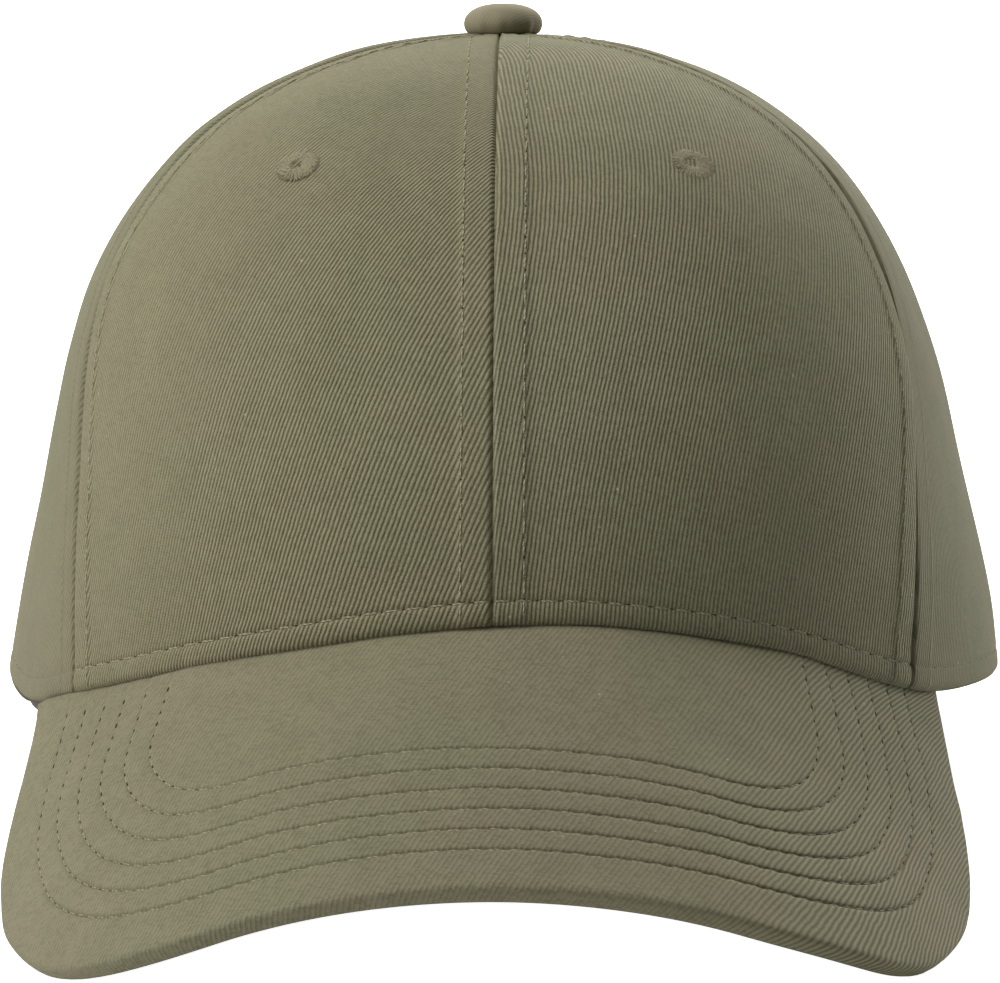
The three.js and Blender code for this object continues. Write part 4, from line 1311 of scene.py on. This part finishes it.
def innerStrip(name, look, material, slotName, node):
    # both faces of a strip with rounded long edges; its grids are returned for the stitching
    degrees = np.linspace(look["from"], look["to"], look["steps"] + 1)
    angle = np.radians(degrees)
    low = rimHeight(angle) + np.interp(degrees, look["lowestAt"], look["lowest"])
    outer, inner = [], []
    edge, rows = look["wall"] / 2, look["rows"]
    for row in rows:
        z = low + row
        climb = climbAtHeight(angle, np.maximum(z, rimHeight(angle)))
        base, normal = crownPoint(angle, climb), crownNormal(angle, climb)
        base[:, 2] = z
        near = max(edge - min(row, rows[-1] - row), 0)
        rounding = edge - math.sqrt(max(edge ** 2 - near ** 2, 0))
        outer.append(base - normal * (look["depth"] + rounding))
        inner.append(base - normal * (look["depth"] + look["wall"] - rounding))
    outer, inner = np.stack(outer, 1), np.stack(inner, 1)
    weave = np.stack(np.broadcast_arrays(lengthsAlong(outer[:, 2])[:, None], np.array(rows)[None]), -1)
    if "lean" in look:
        weave = ribCoordinates(weave[..., 0], weave[..., 1], **look["lean"])
    makePiece(name, sheetBetween(outer, inner, weave), [material], slotName, node)
    return outer, inner


innerStrip("sweatband_cloth", band, greyCotton, "band", "sweatband")
strapFaces = innerStrip("back_strap_cloth", strap, washedTwill, "twill", "back_strap")
strapThreads = MeshParts()
for row in strap["stitched"]:
    for face, other in (strapFaces, strapFaces[::-1]):
        sewLine(strapThreads, None, face[:, row], unit(face[:, row] - other[:, row]), topStitch)
makePiece("strap_topstitching", strapThreads, [oliveThread], "thread")


print("setting the stage")
# Photographer's sweep: matt white paper, lit to clean white round the cap, which takes none of that light.
# Inside the hat it stays dark, within an ellipse whose half width and half length count as 1.
sweep = {"colour": "F4F4F4", "glow": "FFFFFF", "side": 8.0, "below": 0.0002,
         "dark": {"perMetre": (12.2, 11.2, 1), "middle": 0.43, "fade": (0.9, 1.03)}}
paper, paperTree, paperShader, onFloor, _ = startMaterial(
    "white_paper_sweep", Roughness=1.0, Base_Color=sweep["colour"], Specular_IOR_Level=0.0,
    Emission_Color=sweep["glow"])
fromHat = addNode(paperTree, "ShaderNodeMapping", {
    "Vector": onFloor, "Location": (0, -sweep["dark"]["middle"], 0), "Scale": sweep["dark"]["perMetre"]})
away = addNode(paperTree, "ShaderNodeVectorMath", [fromHat], operation="LENGTH").outputs["Value"]
clear = addNode(paperTree, rangeNode, (away, *sweep["dark"]["fade"]), interpolation_type="SMOOTHSTEP")
seen = addNode(paperTree, "ShaderNodeLightPath").outputs["Is Camera Ray"]
glow = addNode(paperTree, mathNode, (seen, clear), operation="MULTIPLY")
feed(paperTree, paperShader.inputs["Emission Strength"], glow)
half = sweep["side"] / 2
floorMesh = bpy.data.meshes.new("paper_floor")
corners = [(-half, -half, 0), (half, -half, 0), (half, half, 0), (-half, half, 0)]
floorMesh.from_pydata(corners, [], [(0, 1, 2, 3)])
floorMesh.materials.append(paper)
floor = bpy.data.objects.new("paper_floor", floorMesh)
floor.location.z = -sweep["below"]
bpy.context.scene.collection.objects.link(floor)

# Softboxes and room light: place in metres round the cap, size, and power in watts.
lights = [
    {"name": "key_softbox", "at": (-0.8, -0.1, 1.4), "size": 0.9, "power": 18.1},
    {"name": "front_left_softbox", "at": (-1.2, -1.2, 0.9), "size": 0.9, "power": 5.1},
    {"name": "back_softbox", "at": (0, 1.6, 0.9), "size": 1.0, "power": 19.8},
    {"name": "top_softbox", "at": (0, 0.2, 1.6), "size": 1.2, "power": 5.4},
    {"name": "left_low_softbox", "at": (-1.5, -0.3, 0.15), "size": 0.6, "power": 7.8},
    {"name": "right_back_softbox", "at": (1.4, 1.2, 0.4), "size": 0.9, "power": 23.8},
]
studio = {"colour": "FFFFFF", "room": 0.02, "aim": (0, 0, 0.06)}
for look in lights:
    data = bpy.data.lights.new(look["name"], "AREA")
    data.shape, data.size, data.energy = "SQUARE", look["size"], look["power"]
    data.color = linearColour(studio["colour"])[:3]
    lamp = bpy.data.objects.new(look["name"], data)
    lamp.location = look["at"]
    lamp.rotation_mode = "QUATERNION"
    lamp.rotation_quaternion = (Vector(studio["aim"]) - lamp.location).to_track_quat("-Z", "Y")
    bpy.context.scene.collection.objects.link(lamp)
world = bpy.data.worlds.new("studio_room")
bpy.context.scene.world = world
world.use_nodes = True
background = world.node_tree.nodes["Background"]
background.inputs["Color"].default_value = linearColour(studio["colour"])
background.inputs["Strength"].default_value = studio["room"]

# The picture's camera, 1.1 m from the cap and 4 degrees above the rim's own plane.
view = {"above": math.radians(4.07), "turn": math.radians(-0.8), "distance": 1100, "lookAt": (-0.1, 0, 33.6),
        "sensor": 36, "framesAway": 5.929}    # the lens's length in picture widths
cosTurn, sinTurn = math.cos(view["turn"]), math.sin(view["turn"])
cosAbove, sinAbove = math.cos(view["above"]), math.sin(view["above"])
forward = np.array([sinTurn * cosAbove, cosTurn * cosAbove, -sinAbove])
across = np.array([cosTurn, -sinTurn, 0])
eye = np.array(view["lookAt"]) - view["distance"] * forward
cameraData = bpy.data.cameras.new("picture_camera")
cameraData.lens, cameraData.sensor_width = view["framesAway"] * view["sensor"], view["sensor"]
cameraData.clip_end = 20
camera = bpy.data.objects.new("picture_camera", cameraData)
bpy.context.scene.collection.objects.link(camera)
axes = unit(np.stack([across, np.cross(across, forward), -forward]))
spin = Matrix([list(row) for row in axes.T]).to_4x4()
place = Vector(rimMatrix[:3, :3] @ eye + rimMatrix[:3, 3])
camera.matrix_world = Matrix.Translation(place) @ Matrix.Rotation(tip, 4, "X") @ spin
bpy.context.scene.camera = camera
bpy.context.scene.view_settings.view_transform = "Standard"
